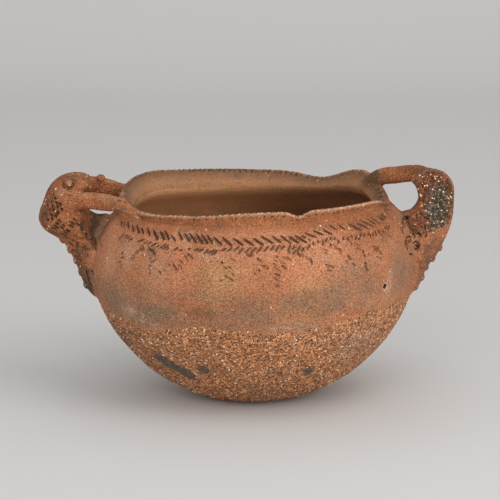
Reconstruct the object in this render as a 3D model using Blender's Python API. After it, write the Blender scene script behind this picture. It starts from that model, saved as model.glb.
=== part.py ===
"""A small round-bellied clay pot with a notched lip, a herringbone band and two animal-head lugs.

Each head rises from the shoulder on a keel and is tied back to the lip by straps. On the right lug
the near strap and the near cheek are broken away. +X runs through the lugs, -Y is the front,
and the origin is the middle of the worn flat spot that the pot stands on.
"""

import math

import bmesh
import bpy
from mathutils import Matrix, Vector

MM = 0.001

# The turned body
RIM_RADIUS = 52.2 * MM
RIM_HEIGHT = 78.0 * MM
BELLY_RADIUS = 63.0 * MM
BELLY_HEIGHT = 52.0 * MM
LIP_OVERHANG = 1.0 * MM
NECK_DROP = 3.6 * MM
LIP_EDGE = 1.2 * MM
FOOT_RADIUS = 16.0 * MM
WALL = 4.6 * MM
LIP_THICKNESS = 3.4 * MM
LOWER_CURVE = (1.82, 1.57)
SHOULDER_CURVE = (1.8, 1.4)

# The incised band and the lip's notches
STROKES = 90
STROKE_WIDTH = 1.0 * MM
STROKE_DEPTH = 0.75 * MM
STROKE_SLANT = 0.8
BAND_TOP_DROP = 6.0 * MM
BAND_WIDTH = 6.2 * MM
NOTCHES = 120
NOTCH_DEPTH = 0.7 * MM
COLUMNS_PER_STROKE = 3
PLAIN_COLUMNS = 48

# What the hand and the years did to it
LEAN = 0.5 * MM
# Heights of the lip and of the band against their mean, in wave units, at every 30 degrees from +X
WAVE_UNIT = 1.0 * MM
LIP_WAVE = (-2.2, 5.2, 2.4, 2.1, 3.1, 4.4, 1.2, -2.3, -1.1, 1.1, 1.3, 1.3)
BAND_WAVE = (0.4, 2.4, 0.6, -0.6, -0.4, 0.4, -1.8, -0.7, -0.6, -0.9, 1.4, 3.2)
# Chips of the lip: where, half their width and their depth
LIP_CHIPS = ((-71.5, 3.2 * MM, 1.8 * MM), (56.0, 13.0 * MM, 2.3 * MM))
HOLE_RADIUS = 1.1 * MM
HOLE_HEIGHT = 49.6 * MM
HOLE_ANGLE = -39.1

# The lugs
LUG_SIDES = 14
LUG_RINGS = 16
LUG_BURY = 1.5 * MM
LUG_REACH = 30.5 * MM
LUG_HALF_WIDTH = 13.0 * MM
STRAP_HEIGHT = 6.6 * MM
STRAP_THICKNESS = 4.6 * MM
STRAP_SPREAD = 10.2 * MM
STRAP_RINGS = 11
# Each strap: rise of its middle over the mean lip where it leaves the head, and drops of its middle
# under the lip where it meets it and at its end
STRAPS = {
    "left_near_strap": (-1.0 * MM, 1.3 * MM, 4.5 * MM),
    "left_far_strap": (1.9 * MM, 5.2 * MM, 6.5 * MM),
    "right_far_strap": (6.6 * MM, -2.2 * MM, 5.4 * MM),
    "right_near_stub": (0.0 * MM, 4.0 * MM, 6.5 * MM),
}
STUB_FIRST_RING = 8
SIDES = {"left": -1, "right": 1, "near": -1, "far": 1}
PELLET_RADIUS = 1.8 * MM
EYE_RADIUS = 2.7 * MM
EYEBALL_RADIUS = 1.4 * MM
EYE_DEPTH = 1.5 * MM
BREAK_DEPTH = 1.2 * MM

CLAY = (0.42, 0.19, 0.105, 1.0)
CLAY_ROUGHNESS = 0.9

NECK_RADIUS = RIM_RADIUS - LIP_OVERHANG
NECK_HEIGHT = RIM_HEIGHT - NECK_DROP
SHOULDER_HEIGHT = RIM_HEIGHT - BELLY_HEIGHT
BAND_TOP = RIM_HEIGHT - BAND_TOP_DROP
BAND_BOTTOM = BAND_TOP - BAND_WIDTH


# The pot's profile, from the flat spot up to the neck

def quarter(turn, curve):
    """Shares (across, along) of a quarter of a superellipse, for a turn from 0 to 90 degrees."""
    power_along, power_across = curve
    angle = math.radians(turn)
    return math.sin(angle) ** (2 / power_across), math.cos(angle) ** (2 / power_along)


def outer_radius(height):
    """Radius of the outside at a height, before the hand-made waves."""
    if height <= BELLY_HEIGHT:
        power_along, power_across = LOWER_CURVE
        below = 1 - max(height, 0) / BELLY_HEIGHT
        return FOOT_RADIUS + (BELLY_RADIUS - FOOT_RADIUS) * (1 - below**power_along) ** (1 / power_across)
    power_along, power_across = SHOULDER_CURVE
    above = min((height - BELLY_HEIGHT) / (NECK_HEIGHT - BELLY_HEIGHT), 1)
    return NECK_RADIUS + (BELLY_RADIUS - NECK_RADIUS) * (1 - above**power_along) ** (1 / power_across)


def lower_profile(rows):
    """Points up the outside, from the edge of the flat spot to the belly and on to just under the band."""
    points = [(FOOT_RADIUS, 0.0)]
    for row in range(1, rows + 1):
        across, along = quarter(90 * row / rows, LOWER_CURVE)
        radius = FOOT_RADIUS + (BELLY_RADIUS - FOOT_RADIUS) * across
        points.append((radius, BELLY_HEIGHT * (1 - along)))
    shoulder_rows = 2
    for row in range(1, shoulder_rows + 1):
        height = BELLY_HEIGHT + (BAND_BOTTOM - BELLY_HEIGHT) * 0.86 * row / shoulder_rows
        points.append((outer_radius(height), height))
    return points


def inward(points, thickness):
    """The same points moved square to their line, to its left, by the wall's thickness."""
    moved = []
    for index, (radius, height) in enumerate(points):
        before = points[max(index - 1, 0)]
        after = points[min(index + 1, len(points) - 1)]
        run, rise = after[0] - before[0], after[1] - before[1]
        length = math.hypot(run, rise)
        moved.append((radius - thickness * rise / length, height + thickness * run / length))
    return moved


def band_profile():
    """Points up the herringbone band."""
    rows = [BAND_BOTTOM + BAND_WIDTH * row / 4 for row in range(5)]
    return [(outer_radius(height), height) for height in rows]


def lip_profile():
    """Points from the hollow of the neck over the lip to its inner edge."""
    return [
        (NECK_RADIUS, NECK_HEIGHT),
        (RIM_RADIUS, RIM_HEIGHT - LIP_EDGE),
        (RIM_RADIUS - 0.45 * LIP_THICKNESS, RIM_HEIGHT),
        (RIM_RADIUS - LIP_THICKNESS, RIM_HEIGHT - LIP_EDGE),
    ]


# The wall: four turned stretches, joined edge to edge

def spin_profile(mesh, profile, columns):
    """Turns an open line of (radius, height) points once about the pot's axis."""
    points = [mesh.verts.new((radius, 0, height)) for radius, height in profile]
    edges = [mesh.edges.new(pair) for pair in zip(points, points[1:])]
    bmesh.ops.spin(
        mesh, geom=points + edges, cent=(0, 0, 0), axis=(0, 0, 1),
        angle=math.tau, steps=columns, use_merge=True,
    )


def open_ring(mesh, point):
    """The open edges that run round the pot at a (radius, height) point."""
    radius, height = point
    reach = 0.05 * MM
    return [
        edge for edge in mesh.edges
        if edge.is_boundary and all(
            abs(vert.co.z - height) < reach and abs(vert.co.xy.length - radius) < reach
            for vert in edge.verts
        )
    ]


def band_point(vert):
    """Cuts the herringbone: each third column sinks half-way down each row, and the rows slant both ways.

    The strokes stop at the lugs.
    """
    columns = STROKES * COLUMNS_PER_STROKE
    column = round(math.atan2(vert.co.y, vert.co.x) / math.tau * columns)
    stroke, place = divmod(column, COLUMNS_PER_STROKE)
    row = round((vert.co.z - BAND_BOTTOM) / (BAND_WIDTH / 4))
    shift_by_row = (0.0, 0.5, 1.0, 0.5, 0.0)
    pitch = math.tau / STROKES
    radius = vert.co.xy.length
    half_width = STROKE_WIDTH / 2 / radius
    # The columns of one stroke are its left edge, its bottom and its right edge.
    across = (place - 1) * half_width
    clear_of_lugs = abs(vert.co.y) > LUG_HALF_WIDTH + 1.5 * STROKE_WIDTH
    sunk = STROKE_DEPTH if place == 1 and row % 2 == 1 and clear_of_lugs else 0.0
    angle = stroke * pitch + across + shift_by_row[row] * STROKE_SLANT * pitch
    vert.co.x = (radius - sunk) * math.cos(angle)
    vert.co.y = (radius - sunk) * math.sin(angle)
    vert.co.z -= sunk / 2


def notch_point(vert):
    """Presses a notch into every second column of the lip."""
    column = round(math.atan2(vert.co.y, vert.co.x) / math.tau * 2 * NOTCHES)
    if column % 2:
        above_edge = (vert.co.z - (RIM_HEIGHT - LIP_EDGE)) / LIP_EDGE
        vert.co.z -= NOTCH_DEPTH * max(above_edge, 0.25)


def smooth_step(value, start, end):
    share = min(max((value - start) / (end - start), 0), 1)
    return share * share * (3 - 2 * share)


def through(values, share):
    """A smooth curve through numbers or vectors, read at a share of its length from 0 to 1."""
    place = share * (len(values) - 1)
    index = min(int(place), len(values) - 2)
    t = place - index
    a, b = values[max(index - 1, 0)], values[index]
    c, d = values[index + 1], values[min(index + 2, len(values) - 1)]
    return 0.5 * (2 * b + (c - a) * t + (2 * a - 5 * b + 4 * c - d) * t**2 + (3 * b - a - 3 * c + d) * t**3)


def wave(heights, angle):
    """The height of a hand-made line at an angle, read from its heights at even steps round the pot."""
    around = (angle / math.tau) % 1
    looped = heights[-1:] + heights + heights[:2]
    return WAVE_UNIT * through(looped, (1 + around * len(heights)) / (len(looped) - 1))


def weather(vert):
    """Waves the band and the lip, leans the upper wall to the right and wears the chips into the lip."""
    angle = math.atan2(vert.co.y, vert.co.x)
    height = vert.co.z
    band, lip = wave(BAND_WAVE, angle), wave(LIP_WAVE, angle)
    lip_share = min(max((height - BAND_TOP) / (RIM_HEIGHT - LIP_EDGE - BAND_TOP), 0), 1)
    band_share = smooth_step(height, 0.5 * RIM_HEIGHT, BAND_BOTTOM)
    vert.co.z += band * band_share + (lip - band) * lip_share
    vert.co.x += LEAN * smooth_step(height, 0.5 * RIM_HEIGHT, 0.85 * RIM_HEIGHT)
    for degrees, half_width, depth in LIP_CHIPS:
        away = math.remainder(angle - math.radians(degrees), math.tau) * RIM_RADIUS
        vert.co.z -= depth * math.exp(-((away / half_width) ** 2)) * smooth_step(height, BAND_TOP, RIM_HEIGHT)


def build_wall():
    """The hollow body, closed, with its band, notches and wear."""
    lower = lower_profile(rows=9)
    band = band_profile()
    lip = lip_profile()
    inner = inward(lower_profile(rows=6) + [band[0], lip[0]], WALL)
    inner[0] = (FOOT_RADIUS, WALL)
    mesh = bmesh.new()
    spin_profile(mesh, lower, PLAIN_COLUMNS)
    spin_profile(mesh, band, STROKES * COLUMNS_PER_STROKE)
    spin_profile(mesh, lip, 2 * NOTCHES)
    spin_profile(mesh, inner, PLAIN_COLUMNS)
    for below, above in ((lower[-1], band[0]), (band[-1], lip[0]), (lip[-1], inner[-1])):
        bmesh.ops.bridge_loops(mesh, edges=open_ring(mesh, below) + open_ring(mesh, above))
    for end in (lower[0], inner[0]):
        bmesh.ops.edgeloop_fill(mesh, edges=open_ring(mesh, end))
    for vert in mesh.verts:
        outside = vert.co.xy.length > outer_radius(vert.co.z) - WALL / 3
        if outside and BAND_BOTTOM - MM / 10 < vert.co.z < BAND_TOP + MM / 10:
            band_point(vert)
        elif vert.co.z > RIM_HEIGHT - 1.1 * LIP_EDGE:
            notch_point(vert)
    for vert in mesh.verts:
        weather(vert)
    bmesh.ops.triangulate(mesh, faces=mesh.faces)
    return new_object("pot", mesh)


# Lofted clay: rings of points, each ring a flattened oval

def loft(name, rings):
    """A closed skin over rings of points, with a flat cap on each end."""
    mesh = bmesh.new()
    loops = []
    for ring in rings:
        points = [mesh.verts.new(point) for point in ring]
        loops.append([mesh.edges.new(pair) for pair in zip(points, points[1:] + points[:1])])
    for near, far in zip(loops, loops[1:]):
        bmesh.ops.bridge_loops(mesh, edges=near + far)
    for end in (loops[0], loops[-1]):
        bmesh.ops.edgeloop_fill(mesh, edges=end)
    return new_object(name, mesh)


def oval(sides, exponent):
    """(across, along) pairs of a rounded square ring with both half-sizes 1."""
    for index in range(sides):
        angle = math.tau * (index + 0.5) / sides
        across, along = math.cos(angle), math.sin(angle)
        yield (
            math.copysign(abs(across) ** (2 / exponent), across),
            math.copysign(abs(along) ** (2 / exponent), along),
        )


def lug_section(outer, inner, half_width, waist):
    """One ring across a lug, in (out, across, up). The waist is where between inner and outer it is widest."""
    ring = []
    for across, along in oval(LUG_SIDES, 2.4):
        share = waist + (1 - waist) * along if along > 0 else waist + waist * along
        middle = inner + (outer - inner) * share
        ring.append(Vector((middle.x, half_width * across, middle.y)))
    return ring


def wall_point(height, half_width):
    """(out, up) just inside the wall's outside, where a lug of that half-width is buried."""
    return Vector((math.sqrt((outer_radius(height) - LUG_BURY) ** 2 - half_width**2), height))


def from_lip(out, up):
    """(out, up) from the lip's outer edge, in shares of the lug's reach and of the shoulder's height."""
    return Vector((RIM_RADIUS + out * LUG_REACH, RIM_HEIGHT + up * SHOULDER_HEIGHT))


def from_belly(proud, up):
    """(out, up) of a point that stands proud of the wall, up from the belly, in the same shares."""
    height = BELLY_HEIGHT + up * SHOULDER_HEIGHT
    return Vector((outer_radius(height) + proud * LUG_REACH, height))


def keel_sections(proud, widths):
    """The lower lug, which lies on the wall from its tip up to where the neck leaves the shoulder.

    It stands proud of the wall by shares of the lug's reach, and its widths are shares of the greatest.
    """
    heights = (-0.546, -0.346, -0.096, 0.123)
    rings = []
    for up, stands, width in zip(heights, proud, widths):
        outer = from_belly(stands, up)
        half_width = LUG_HALF_WIDTH * width
        inner = wall_point(outer.y + 0.062 * SHOULDER_HEIGHT, half_width)
        rings.append((outer, inner, half_width, 0.06))
    return rings


# Both lugs from the tip of the keel to the crown: outer line, inner line, half width, place of the waist
LEFT_SECTIONS = keel_sections((0.039, 0.118, 0.161, 0.252), (0.54, 0.91, 1.0, 1.0)) + [
    (from_lip(0.725, -0.677), from_lip(0.092, -0.369), 0.985 * LUG_HALF_WIDTH, 0.3),
    (from_lip(0.918, -0.519), from_lip(0.275, -0.319), 0.954 * LUG_HALF_WIDTH, 0.45),
    (from_lip(1.000, -0.346), from_lip(0.387, -0.231), 0.923 * LUG_HALF_WIDTH, 0.5),
    (from_lip(0.948, -0.115), from_lip(0.426, -0.096), 0.892 * LUG_HALF_WIDTH, 0.5),
    (from_lip(0.859, 0.115), from_lip(0.413, 0.000), 0.877 * LUG_HALF_WIDTH, 0.5),
    (from_lip(0.718, 0.269), from_lip(0.393, 0.038), 0.846 * LUG_HALF_WIDTH, 0.5),
    (from_lip(0.525, 0.315), from_lip(0.374, 0.062), 0.769 * LUG_HALF_WIDTH, 0.5),
    (from_lip(0.380, 0.277), from_lip(0.341, 0.100), 0.615 * LUG_HALF_WIDTH, 0.5),
]
RIGHT_SECTIONS = keel_sections((0.007, 0.092, 0.144, 0.289), (0.46, 0.69, 0.81, 0.88)) + [
    (from_lip(0.761, -0.558), from_lip(0.098, -0.369), 0.923 * LUG_HALF_WIDTH, 0.3),
    (from_lip(0.807, -0.308), from_lip(0.289, -0.246), 0.923 * LUG_HALF_WIDTH, 0.5),
    (from_lip(0.820, -0.077), from_lip(0.374, -0.092), 0.892 * LUG_HALF_WIDTH, 0.5),
    (from_lip(0.807, 0.169), from_lip(0.354, 0.069), 0.877 * LUG_HALF_WIDTH, 0.5),
    (from_lip(0.689, 0.331), from_lip(0.308, 0.162), 0.800 * LUG_HALF_WIDTH, 0.5),
    (from_lip(0.459, 0.392), from_lip(0.282, 0.200), 0.662 * LUG_HALF_WIDTH, 0.5),
]


def build_head(name, side, sections):
    """A keel and head in one mass, on the left (side -1) or on the right (side 1)."""
    rings = []
    for index in range(LUG_RINGS):
        share = index / (LUG_RINGS - 1)
        outer, inner, half_width, waist = (
            through([section[part] for section in sections], share) for part in range(4)
        )
        ring = lug_section(outer, inner, half_width, waist)
        rings.append([Vector((side * point.x, point.y, point.z)) for point in ring])
    return loft(name, rings)


def build_strap(name):
    """A flat strap from inside the head to the inner face of the lip."""
    left_or_right, near_or_far, kind = name.split("_")
    side, across_side = SIDES[left_or_right], SIDES[near_or_far]
    rise, root_drop, end_drop = STRAPS[name]
    first_ring = STUB_FIRST_RING if kind == "stub" else 0

    def on_lip(inside, across, drop):
        out = RIM_RADIUS - inside
        lip = RIM_HEIGHT + wave(LIP_WAVE, math.atan2(across_side * across, side * out))
        return Vector((out, across, lip - drop))

    root = on_lip(0.73 * LIP_THICKNESS, 1.44 * STRAP_SPREAD, root_drop)
    head_height = RIM_HEIGHT + rise
    route = [
        Vector((RIM_RADIUS + 0.59 * LUG_REACH, 0.55 * STRAP_SPREAD, head_height - 0.25 * STRAP_HEIGHT)),
        Vector((RIM_RADIUS + 0.393 * LUG_REACH, STRAP_SPREAD, head_height)),
        Vector((RIM_RADIUS + 0.131 * LUG_REACH, 1.12 * STRAP_SPREAD, 0.65 * head_height + 0.35 * root.z)),
        root,
        on_lip(1.74 * WALL, 1.93 * STRAP_SPREAD, end_drop),
    ]
    rings = []
    for index in range(first_ring, STRAP_RINGS):
        share = index / (STRAP_RINGS - 1)
        middle = through(route, share)
        ahead = through(route, min(share + 0.02, 1)) - through(route, max(share - 0.02, 0))
        level = Vector((ahead.y, -ahead.x, 0)).normalized()
        upright = ahead.cross(level).normalized()
        spread_at_root = 1 + 0.3 * smooth_step(share, 0.6, 0.9)
        ring = []
        for across, along in oval(8, 2.8):
            point = middle + level * across * spread_at_root * STRAP_THICKNESS / 2
            point += upright * along * STRAP_HEIGHT / 2
            ring.append(Vector((side * point.x, across_side * point.y, point.z)))
        rings.append(ring)
    return loft(name, rings)


def lug_surface(sections, share, across):
    """A point on the outer face of a lug and the way it faces, in (out, across, up)."""
    outer, inner, half_width, waist = (
        through([section[part] for section in sections], share) for part in range(4)
    )
    along = math.sqrt(1 - across**2)
    middle = inner + (outer - inner) * (waist + (1 - waist) * along)
    facing = (outer - inner).normalized()
    point = Vector((middle.x, half_width * across, middle.y))
    return point, Vector((facing.x * along, across, facing.y * along)).normalized()


def place(mesh, side, across_side, point, facing):
    """Turns a mesh made upright on the origin to face outwards from a point of the left or right lug."""
    turn = facing.to_track_quat("Z", "X").to_matrix().to_4x4()
    bmesh.ops.transform(mesh, matrix=Matrix.Translation(point) @ turn, verts=mesh.verts)
    bmesh.ops.scale(mesh, vec=(side, across_side, 1), verts=mesh.verts)


def add_pellet(lug, name, side, point, facing):
    """A ball of clay pressed flat on to the lug."""
    mesh = bmesh.new()
    bmesh.ops.create_uvsphere(mesh, u_segments=7, v_segments=5, radius=PELLET_RADIUS)
    bmesh.ops.scale(mesh, vec=(1, 1, 0.75), verts=mesh.verts)
    place(mesh, side, 1, point - facing * 0.2 * PELLET_RADIUS, facing)
    combine(lug, new_object(f"{lug.name}_{name}", mesh), "UNION")


def add_keel_pellets(lug, side, sections):
    """A row of pellets down the keel and a pair on each flank under the head."""
    places = [(0.08 + 0.07 * step, 0.0) for step in range(5)]
    places += [(0.31, 0.97), (0.31, -0.97), (0.26, 0.85), (0.26, -0.85)]
    for number, (share, across) in enumerate(places):
        point, facing = lug_surface(sections, share, across)
        add_pellet(lug, f"pellet_{number}", side, point, facing)


def add_eye(lug, side, across_side, sections):
    """A round socket pressed in with a reed, with a ball of clay left in its middle."""
    share_up_head, towards_cheek = 0.835, 0.9
    point, facing = lug_surface(sections, share_up_head, towards_cheek)
    socket = bmesh.new()
    bmesh.ops.create_cone(
        socket, cap_ends=True, segments=14, radius1=EYE_RADIUS, radius2=EYE_RADIUS, depth=2 * EYE_DEPTH,
    )
    ball = bmesh.new()
    bmesh.ops.create_icosphere(ball, subdivisions=2, radius=EYEBALL_RADIUS)
    near_or_far = "near" if across_side < 0 else "far"
    for name, mesh, depth, operation in (
        ("socket", socket, 0.1 * EYE_DEPTH, "DIFFERENCE"),
        ("ball", ball, EYE_DEPTH, "UNION"),
    ):
        place(mesh, side, across_side, point - facing * depth, facing)
        combine(lug, new_object(f"{lug.name}_{near_or_far}_eye_{name}", mesh), operation)


def scoop_under_straps(lug, side, across_sides):
    """Hollows the lug out under its straps, where the potter's fingers pressed it against the wall."""
    for across_side in across_sides:
        mesh = bmesh.new()
        bmesh.ops.create_uvsphere(mesh, u_segments=20, v_segments=12, radius=1.0)
        half_sizes = (0.236 * LUG_REACH, 0.77 * LUG_HALF_WIDTH, 0.423 * SHOULDER_HEIGHT)
        bmesh.ops.scale(mesh, vec=half_sizes, verts=mesh.verts)
        out = RIM_RADIUS + 0.243 * LUG_REACH
        across = 1.154 * LUG_HALF_WIDTH
        middle = Vector((side * out, across_side * across, RIM_HEIGHT - 0.288 * SHOULDER_HEIGHT))
        bmesh.ops.translate(mesh, vec=middle, verts=mesh.verts)
        near_or_far = "near" if across_side < 0 else "far"
        combine(lug, new_object(f"{lug.name}_{near_or_far}_scoop", mesh), "DIFFERENCE")


def break_cheek(lug):
    """Cuts the near cheek off the right head along an uneven break."""
    mesh = bmesh.new()
    bmesh.ops.create_grid(mesh, x_segments=8, y_segments=8, size=1.08 * LUG_HALF_WIDTH)
    for vert in mesh.verts:
        x, y = vert.co.x / LUG_HALF_WIDTH, vert.co.y / LUG_HALF_WIDTH
        ripple = 0.35 * math.sin(8.1 * x + 1.0) * math.cos(9.2 * y)
        dish = math.exp(-((math.hypot(x, y) / 0.62) ** 2))
        run_out = 5.8 * smooth_step(-y, 0.42, 1.08)
        vert.co.z = BREAK_DEPTH * (ripple - dish + run_out)
    grown = bmesh.ops.extrude_face_region(mesh, geom=mesh.faces[:])["geom"]
    for vert in grown:
        if isinstance(vert, bmesh.types.BMVert):
            vert.co.z = 1.23 * LUG_HALF_WIDTH
    facing = Vector((-0.1, -1.0, 0.12)).normalized()
    middle = Vector((
        RIM_RADIUS + 0.639 * LUG_REACH, -0.485 * LUG_HALF_WIDTH, RIM_HEIGHT - 0.096 * SHOULDER_HEIGHT,
    ))
    turn = facing.to_track_quat("Z", "Y").to_matrix().to_4x4()
    bmesh.ops.transform(mesh, matrix=Matrix.Translation(middle) @ turn, verts=mesh.verts)
    combine(lug, new_object("right_cheek_break", mesh), "DIFFERENCE")


# Objects and how they join

def new_object(name, mesh):
    mesh.normal_update()
    bmesh.ops.recalc_face_normals(mesh, faces=mesh.faces)
    data = bpy.data.meshes.new(name)
    mesh.to_mesh(data)
    mesh.free()
    made = bpy.data.objects.new(name, data)
    bpy.context.scene.collection.objects.link(made)
    return made


def combine(base, other, operation):
    """Joins another shape to the base or cuts it out, and leaves it as a helper."""
    other.hide_render = True
    other.display_type = "WIRE"
    step = base.modifiers.new(other.name, "BOOLEAN")
    step.operation = operation
    step.object = other


def cut_small_hole(pot):
    """The one small hole through the belly, low on the right of the front."""
    mesh = bmesh.new()
    bmesh.ops.create_cone(
        mesh, cap_ends=True, segments=8, radius1=HOLE_RADIUS, radius2=HOLE_RADIUS, depth=4 * WALL,
    )
    outward = Vector((math.cos(math.radians(HOLE_ANGLE)), math.sin(math.radians(HOLE_ANGLE)), 0))
    middle = outward * outer_radius(HOLE_HEIGHT) + Vector((0, 0, HOLE_HEIGHT))
    turn = outward.to_track_quat("Z", "Y").to_matrix().to_4x4()
    bmesh.ops.transform(mesh, matrix=Matrix.Translation(middle) @ turn, verts=mesh.verts)
    combine(pot, new_object("small_hole", mesh), "DIFFERENCE")


def clay_material():
    clay = bpy.data.materials.new("fired_clay")
    clay.use_nodes = True
    shader = clay.node_tree.nodes["Principled BSDF"]
    shader.inputs["Base Color"].default_value = CLAY
    shader.inputs["Roughness"].default_value = CLAY_ROUGHNESS
    shader.inputs["Metallic"].default_value = 0.0
    return clay


def main():
    for old in list(bpy.data.objects):
        bpy.data.objects.remove(old)

    left = build_head("left_lug", -1, LEFT_SECTIONS)
    scoop_under_straps(left, -1, (-1, 1))
    add_keel_pellets(left, -1, LEFT_SECTIONS)
    for across_side in (-1, 1):
        add_eye(left, -1, across_side, LEFT_SECTIONS)

    right = build_head("right_lug", 1, RIGHT_SECTIONS)
    scoop_under_straps(right, 1, (1,))
    add_keel_pellets(right, 1, RIGHT_SECTIONS)
    add_eye(right, 1, 1, RIGHT_SECTIONS)
    break_cheek(right)

    pot = build_wall()
    cut_small_hole(pot)
    combine(pot, left, "UNION")
    combine(pot, right, "UNION")
    for name in STRAPS:
        combine(pot, build_strap(name), "UNION")
    strap_top = RIM_HEIGHT + STRAPS["left_far_strap"][0] + STRAP_HEIGHT / 2
    knob_place = Vector((RIM_RADIUS + 0.236 * LUG_REACH, STRAP_SPREAD, strap_top - PELLET_RADIUS / 2))
    add_pellet(pot, "crown_knob", -1, knob_place, Vector((0.0, -0.3, 1.0)).normalized())

    pot.data.materials.append(clay_material())
    pot.data.shade_smooth()
    pot.data.set_sharp_from_angle(angle=math.radians(35))


main()
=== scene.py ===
"""A small round-bellied clay pot with a notched lip, a herringbone band and two animal-head lugs."""

import math
import random

import bmesh
import bpy
import numpy as np
from mathutils import Matrix, Vector, noise
from mathutils.bvhtree import BVHTree
from mathutils.kdtree import KDTree


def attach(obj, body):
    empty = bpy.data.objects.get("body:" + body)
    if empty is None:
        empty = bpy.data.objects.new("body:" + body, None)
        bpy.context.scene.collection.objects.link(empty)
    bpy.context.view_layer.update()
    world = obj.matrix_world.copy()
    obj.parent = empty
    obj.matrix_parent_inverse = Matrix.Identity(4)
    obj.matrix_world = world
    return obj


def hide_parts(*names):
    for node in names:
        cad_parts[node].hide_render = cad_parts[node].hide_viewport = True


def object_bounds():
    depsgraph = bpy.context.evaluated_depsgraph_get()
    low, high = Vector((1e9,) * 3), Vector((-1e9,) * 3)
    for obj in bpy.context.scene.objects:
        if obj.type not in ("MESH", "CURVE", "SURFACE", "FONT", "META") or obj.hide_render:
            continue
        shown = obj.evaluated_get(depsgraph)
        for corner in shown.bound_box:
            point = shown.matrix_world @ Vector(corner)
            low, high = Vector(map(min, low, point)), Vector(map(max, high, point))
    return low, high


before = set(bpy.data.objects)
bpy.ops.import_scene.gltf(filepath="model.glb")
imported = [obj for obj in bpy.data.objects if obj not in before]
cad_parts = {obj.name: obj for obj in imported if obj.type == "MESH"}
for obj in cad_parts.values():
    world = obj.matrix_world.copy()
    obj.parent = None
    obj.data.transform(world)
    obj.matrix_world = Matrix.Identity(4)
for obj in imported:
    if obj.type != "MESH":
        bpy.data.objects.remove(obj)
cad_low, cad_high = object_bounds()


# The wall
# A hollow bowl of coarse red earthenware, built up by hand over a round base and closed in to a short
# neck. The lip is folded outwards and notched, and a tan collar runs down inside it to a blunt ridge.
MM = 0.001
RIM_RADIUS = 52.2 * MM
RIM_HEIGHT = 78.0 * MM
BELLY_RADIUS = 63.0 * MM
BELLY_HEIGHT = 52.0 * MM
NECK_RADIUS = 51.2 * MM
NECK_HEIGHT = 74.4 * MM
LIP_THICKNESS = 3.4 * MM
RIDGE_RADIUS = 46.2 * MM
RIDGE_HEIGHT = 73.6 * MM
FOOT_RADIUS = 16.0 * MM
WALL = 4.6 * MM
LOWER_CURVE = (1.82, 1.57)
SHOULDER_CURVE = (1.8, 1.4)
BAND_TOP = 72.0 * MM
BAND_BOTTOM = 65.8 * MM
LEAN = 0.5 * MM
# Heights of the lip and of the band against their mean, in millimetres, at every 30 degrees from +X
LIP_WAVE = (-2.2, 5.2, 2.4, 2.1, 3.1, 4.4, 1.2, -2.3, -1.1, 1.1, 1.3, 1.3)
BAND_WAVE = (0.4, 2.4, 0.6, -0.6, -0.4, 0.4, -1.8, -0.7, -0.6, -0.9, 1.4, 3.2)
# Chips of the lip: where in degrees, half their width and their depth
LIP_CHIPS = ((-71.5, 3.2 * MM, 1.8 * MM), (56.0, 13.0 * MM, 2.3 * MM))


def outer_radius(height):
    """Radius of the outside at a height, before the hand-made waves."""
    if height <= BELLY_HEIGHT:
        power_along, power_across = LOWER_CURVE
        below = 1 - max(height, 0) / BELLY_HEIGHT
        return FOOT_RADIUS + (BELLY_RADIUS - FOOT_RADIUS) * (1 - below**power_along) ** (1 / power_across)
    power_along, power_across = SHOULDER_CURVE
    above = min((height - BELLY_HEIGHT) / (NECK_HEIGHT - BELLY_HEIGHT), 1)
    return NECK_RADIUS + (BELLY_RADIUS - NECK_RADIUS) * (1 - above**power_along) ** (1 / power_across)


def smooth_step(value, start, end):
    """0 up to start, rising smoothly to 1 at end."""
    share = np.clip((value - start) / (end - start), 0, 1)
    return share * share * (3 - 2 * share)


def through(values, share):
    """A smooth curve through numbers or vectors, read at a share of its length from 0 to 1."""
    place = share * (len(values) - 1)
    index = min(int(place), len(values) - 2)
    t = place - index
    a, b = values[max(index - 1, 0)], values[index]
    c, d = values[index + 1], values[min(index + 2, len(values) - 1)]
    return 0.5 * (2 * b + (c - a) * t + (2 * a - 5 * b + 4 * c - d) * t**2 + (3 * b - a - 3 * c + d) * t**3)


def wave(heights, angle):
    """The height of a hand-made line at an angle, read from its heights at even steps round the pot."""
    around = (angle / math.tau) % 1
    looped = heights[-1:] + heights + heights[:2]
    return MM * through(looped, (1 + around * len(heights)) / (len(looped) - 1))


def weather(vert):
    """Waves the band and the lip, leans the upper wall to the right and wears the chips into the lip."""
    angle = math.atan2(vert.co.y, vert.co.x)
    height = vert.co.z
    band, lip = wave(BAND_WAVE, angle), wave(LIP_WAVE, angle)
    lip_share = min(max((height - BAND_TOP) / (RIM_HEIGHT - BAND_TOP), 0), 1)
    band_share = smooth_step(height, 0.5 * RIM_HEIGHT, BAND_BOTTOM)
    vert.co.z += band * band_share + (lip - band) * lip_share
    vert.co.x += LEAN * smooth_step(height, 0.5 * RIM_HEIGHT, 0.85 * RIM_HEIGHT)
    for degrees, half_width, depth in LIP_CHIPS:
        away = math.remainder(angle - math.radians(degrees), math.tau) * RIM_RADIUS
        vert.co.z -= depth * math.exp(-((away / half_width) ** 2)) * smooth_step(height, BAND_TOP, RIM_HEIGHT)


def spin_line(mesh, line, columns):
    """Turns an open line of (radius, height) points once about the pot's axis."""
    points = [mesh.verts.new((radius, 0, height)) for radius, height in line]
    edges = [mesh.edges.new(pair) for pair in zip(points, points[1:])]
    bmesh.ops.spin(
        mesh, geom=points + edges, cent=(0, 0, 0), axis=(0, 0, 1),
        angle=math.tau, steps=columns, use_merge=True,
    )


def open_ring(mesh, point):
    """The open edges that run round the pot at a (radius, height) point."""
    radius, height = point
    reach = 0.05 * MM
    return [
        edge for edge in mesh.edges
        if edge.is_boundary and all(
            abs(vert.co.z - height) < reach and abs(vert.co.xy.length - radius) < reach
            for vert in edge.verts
        )
    ]


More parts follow.
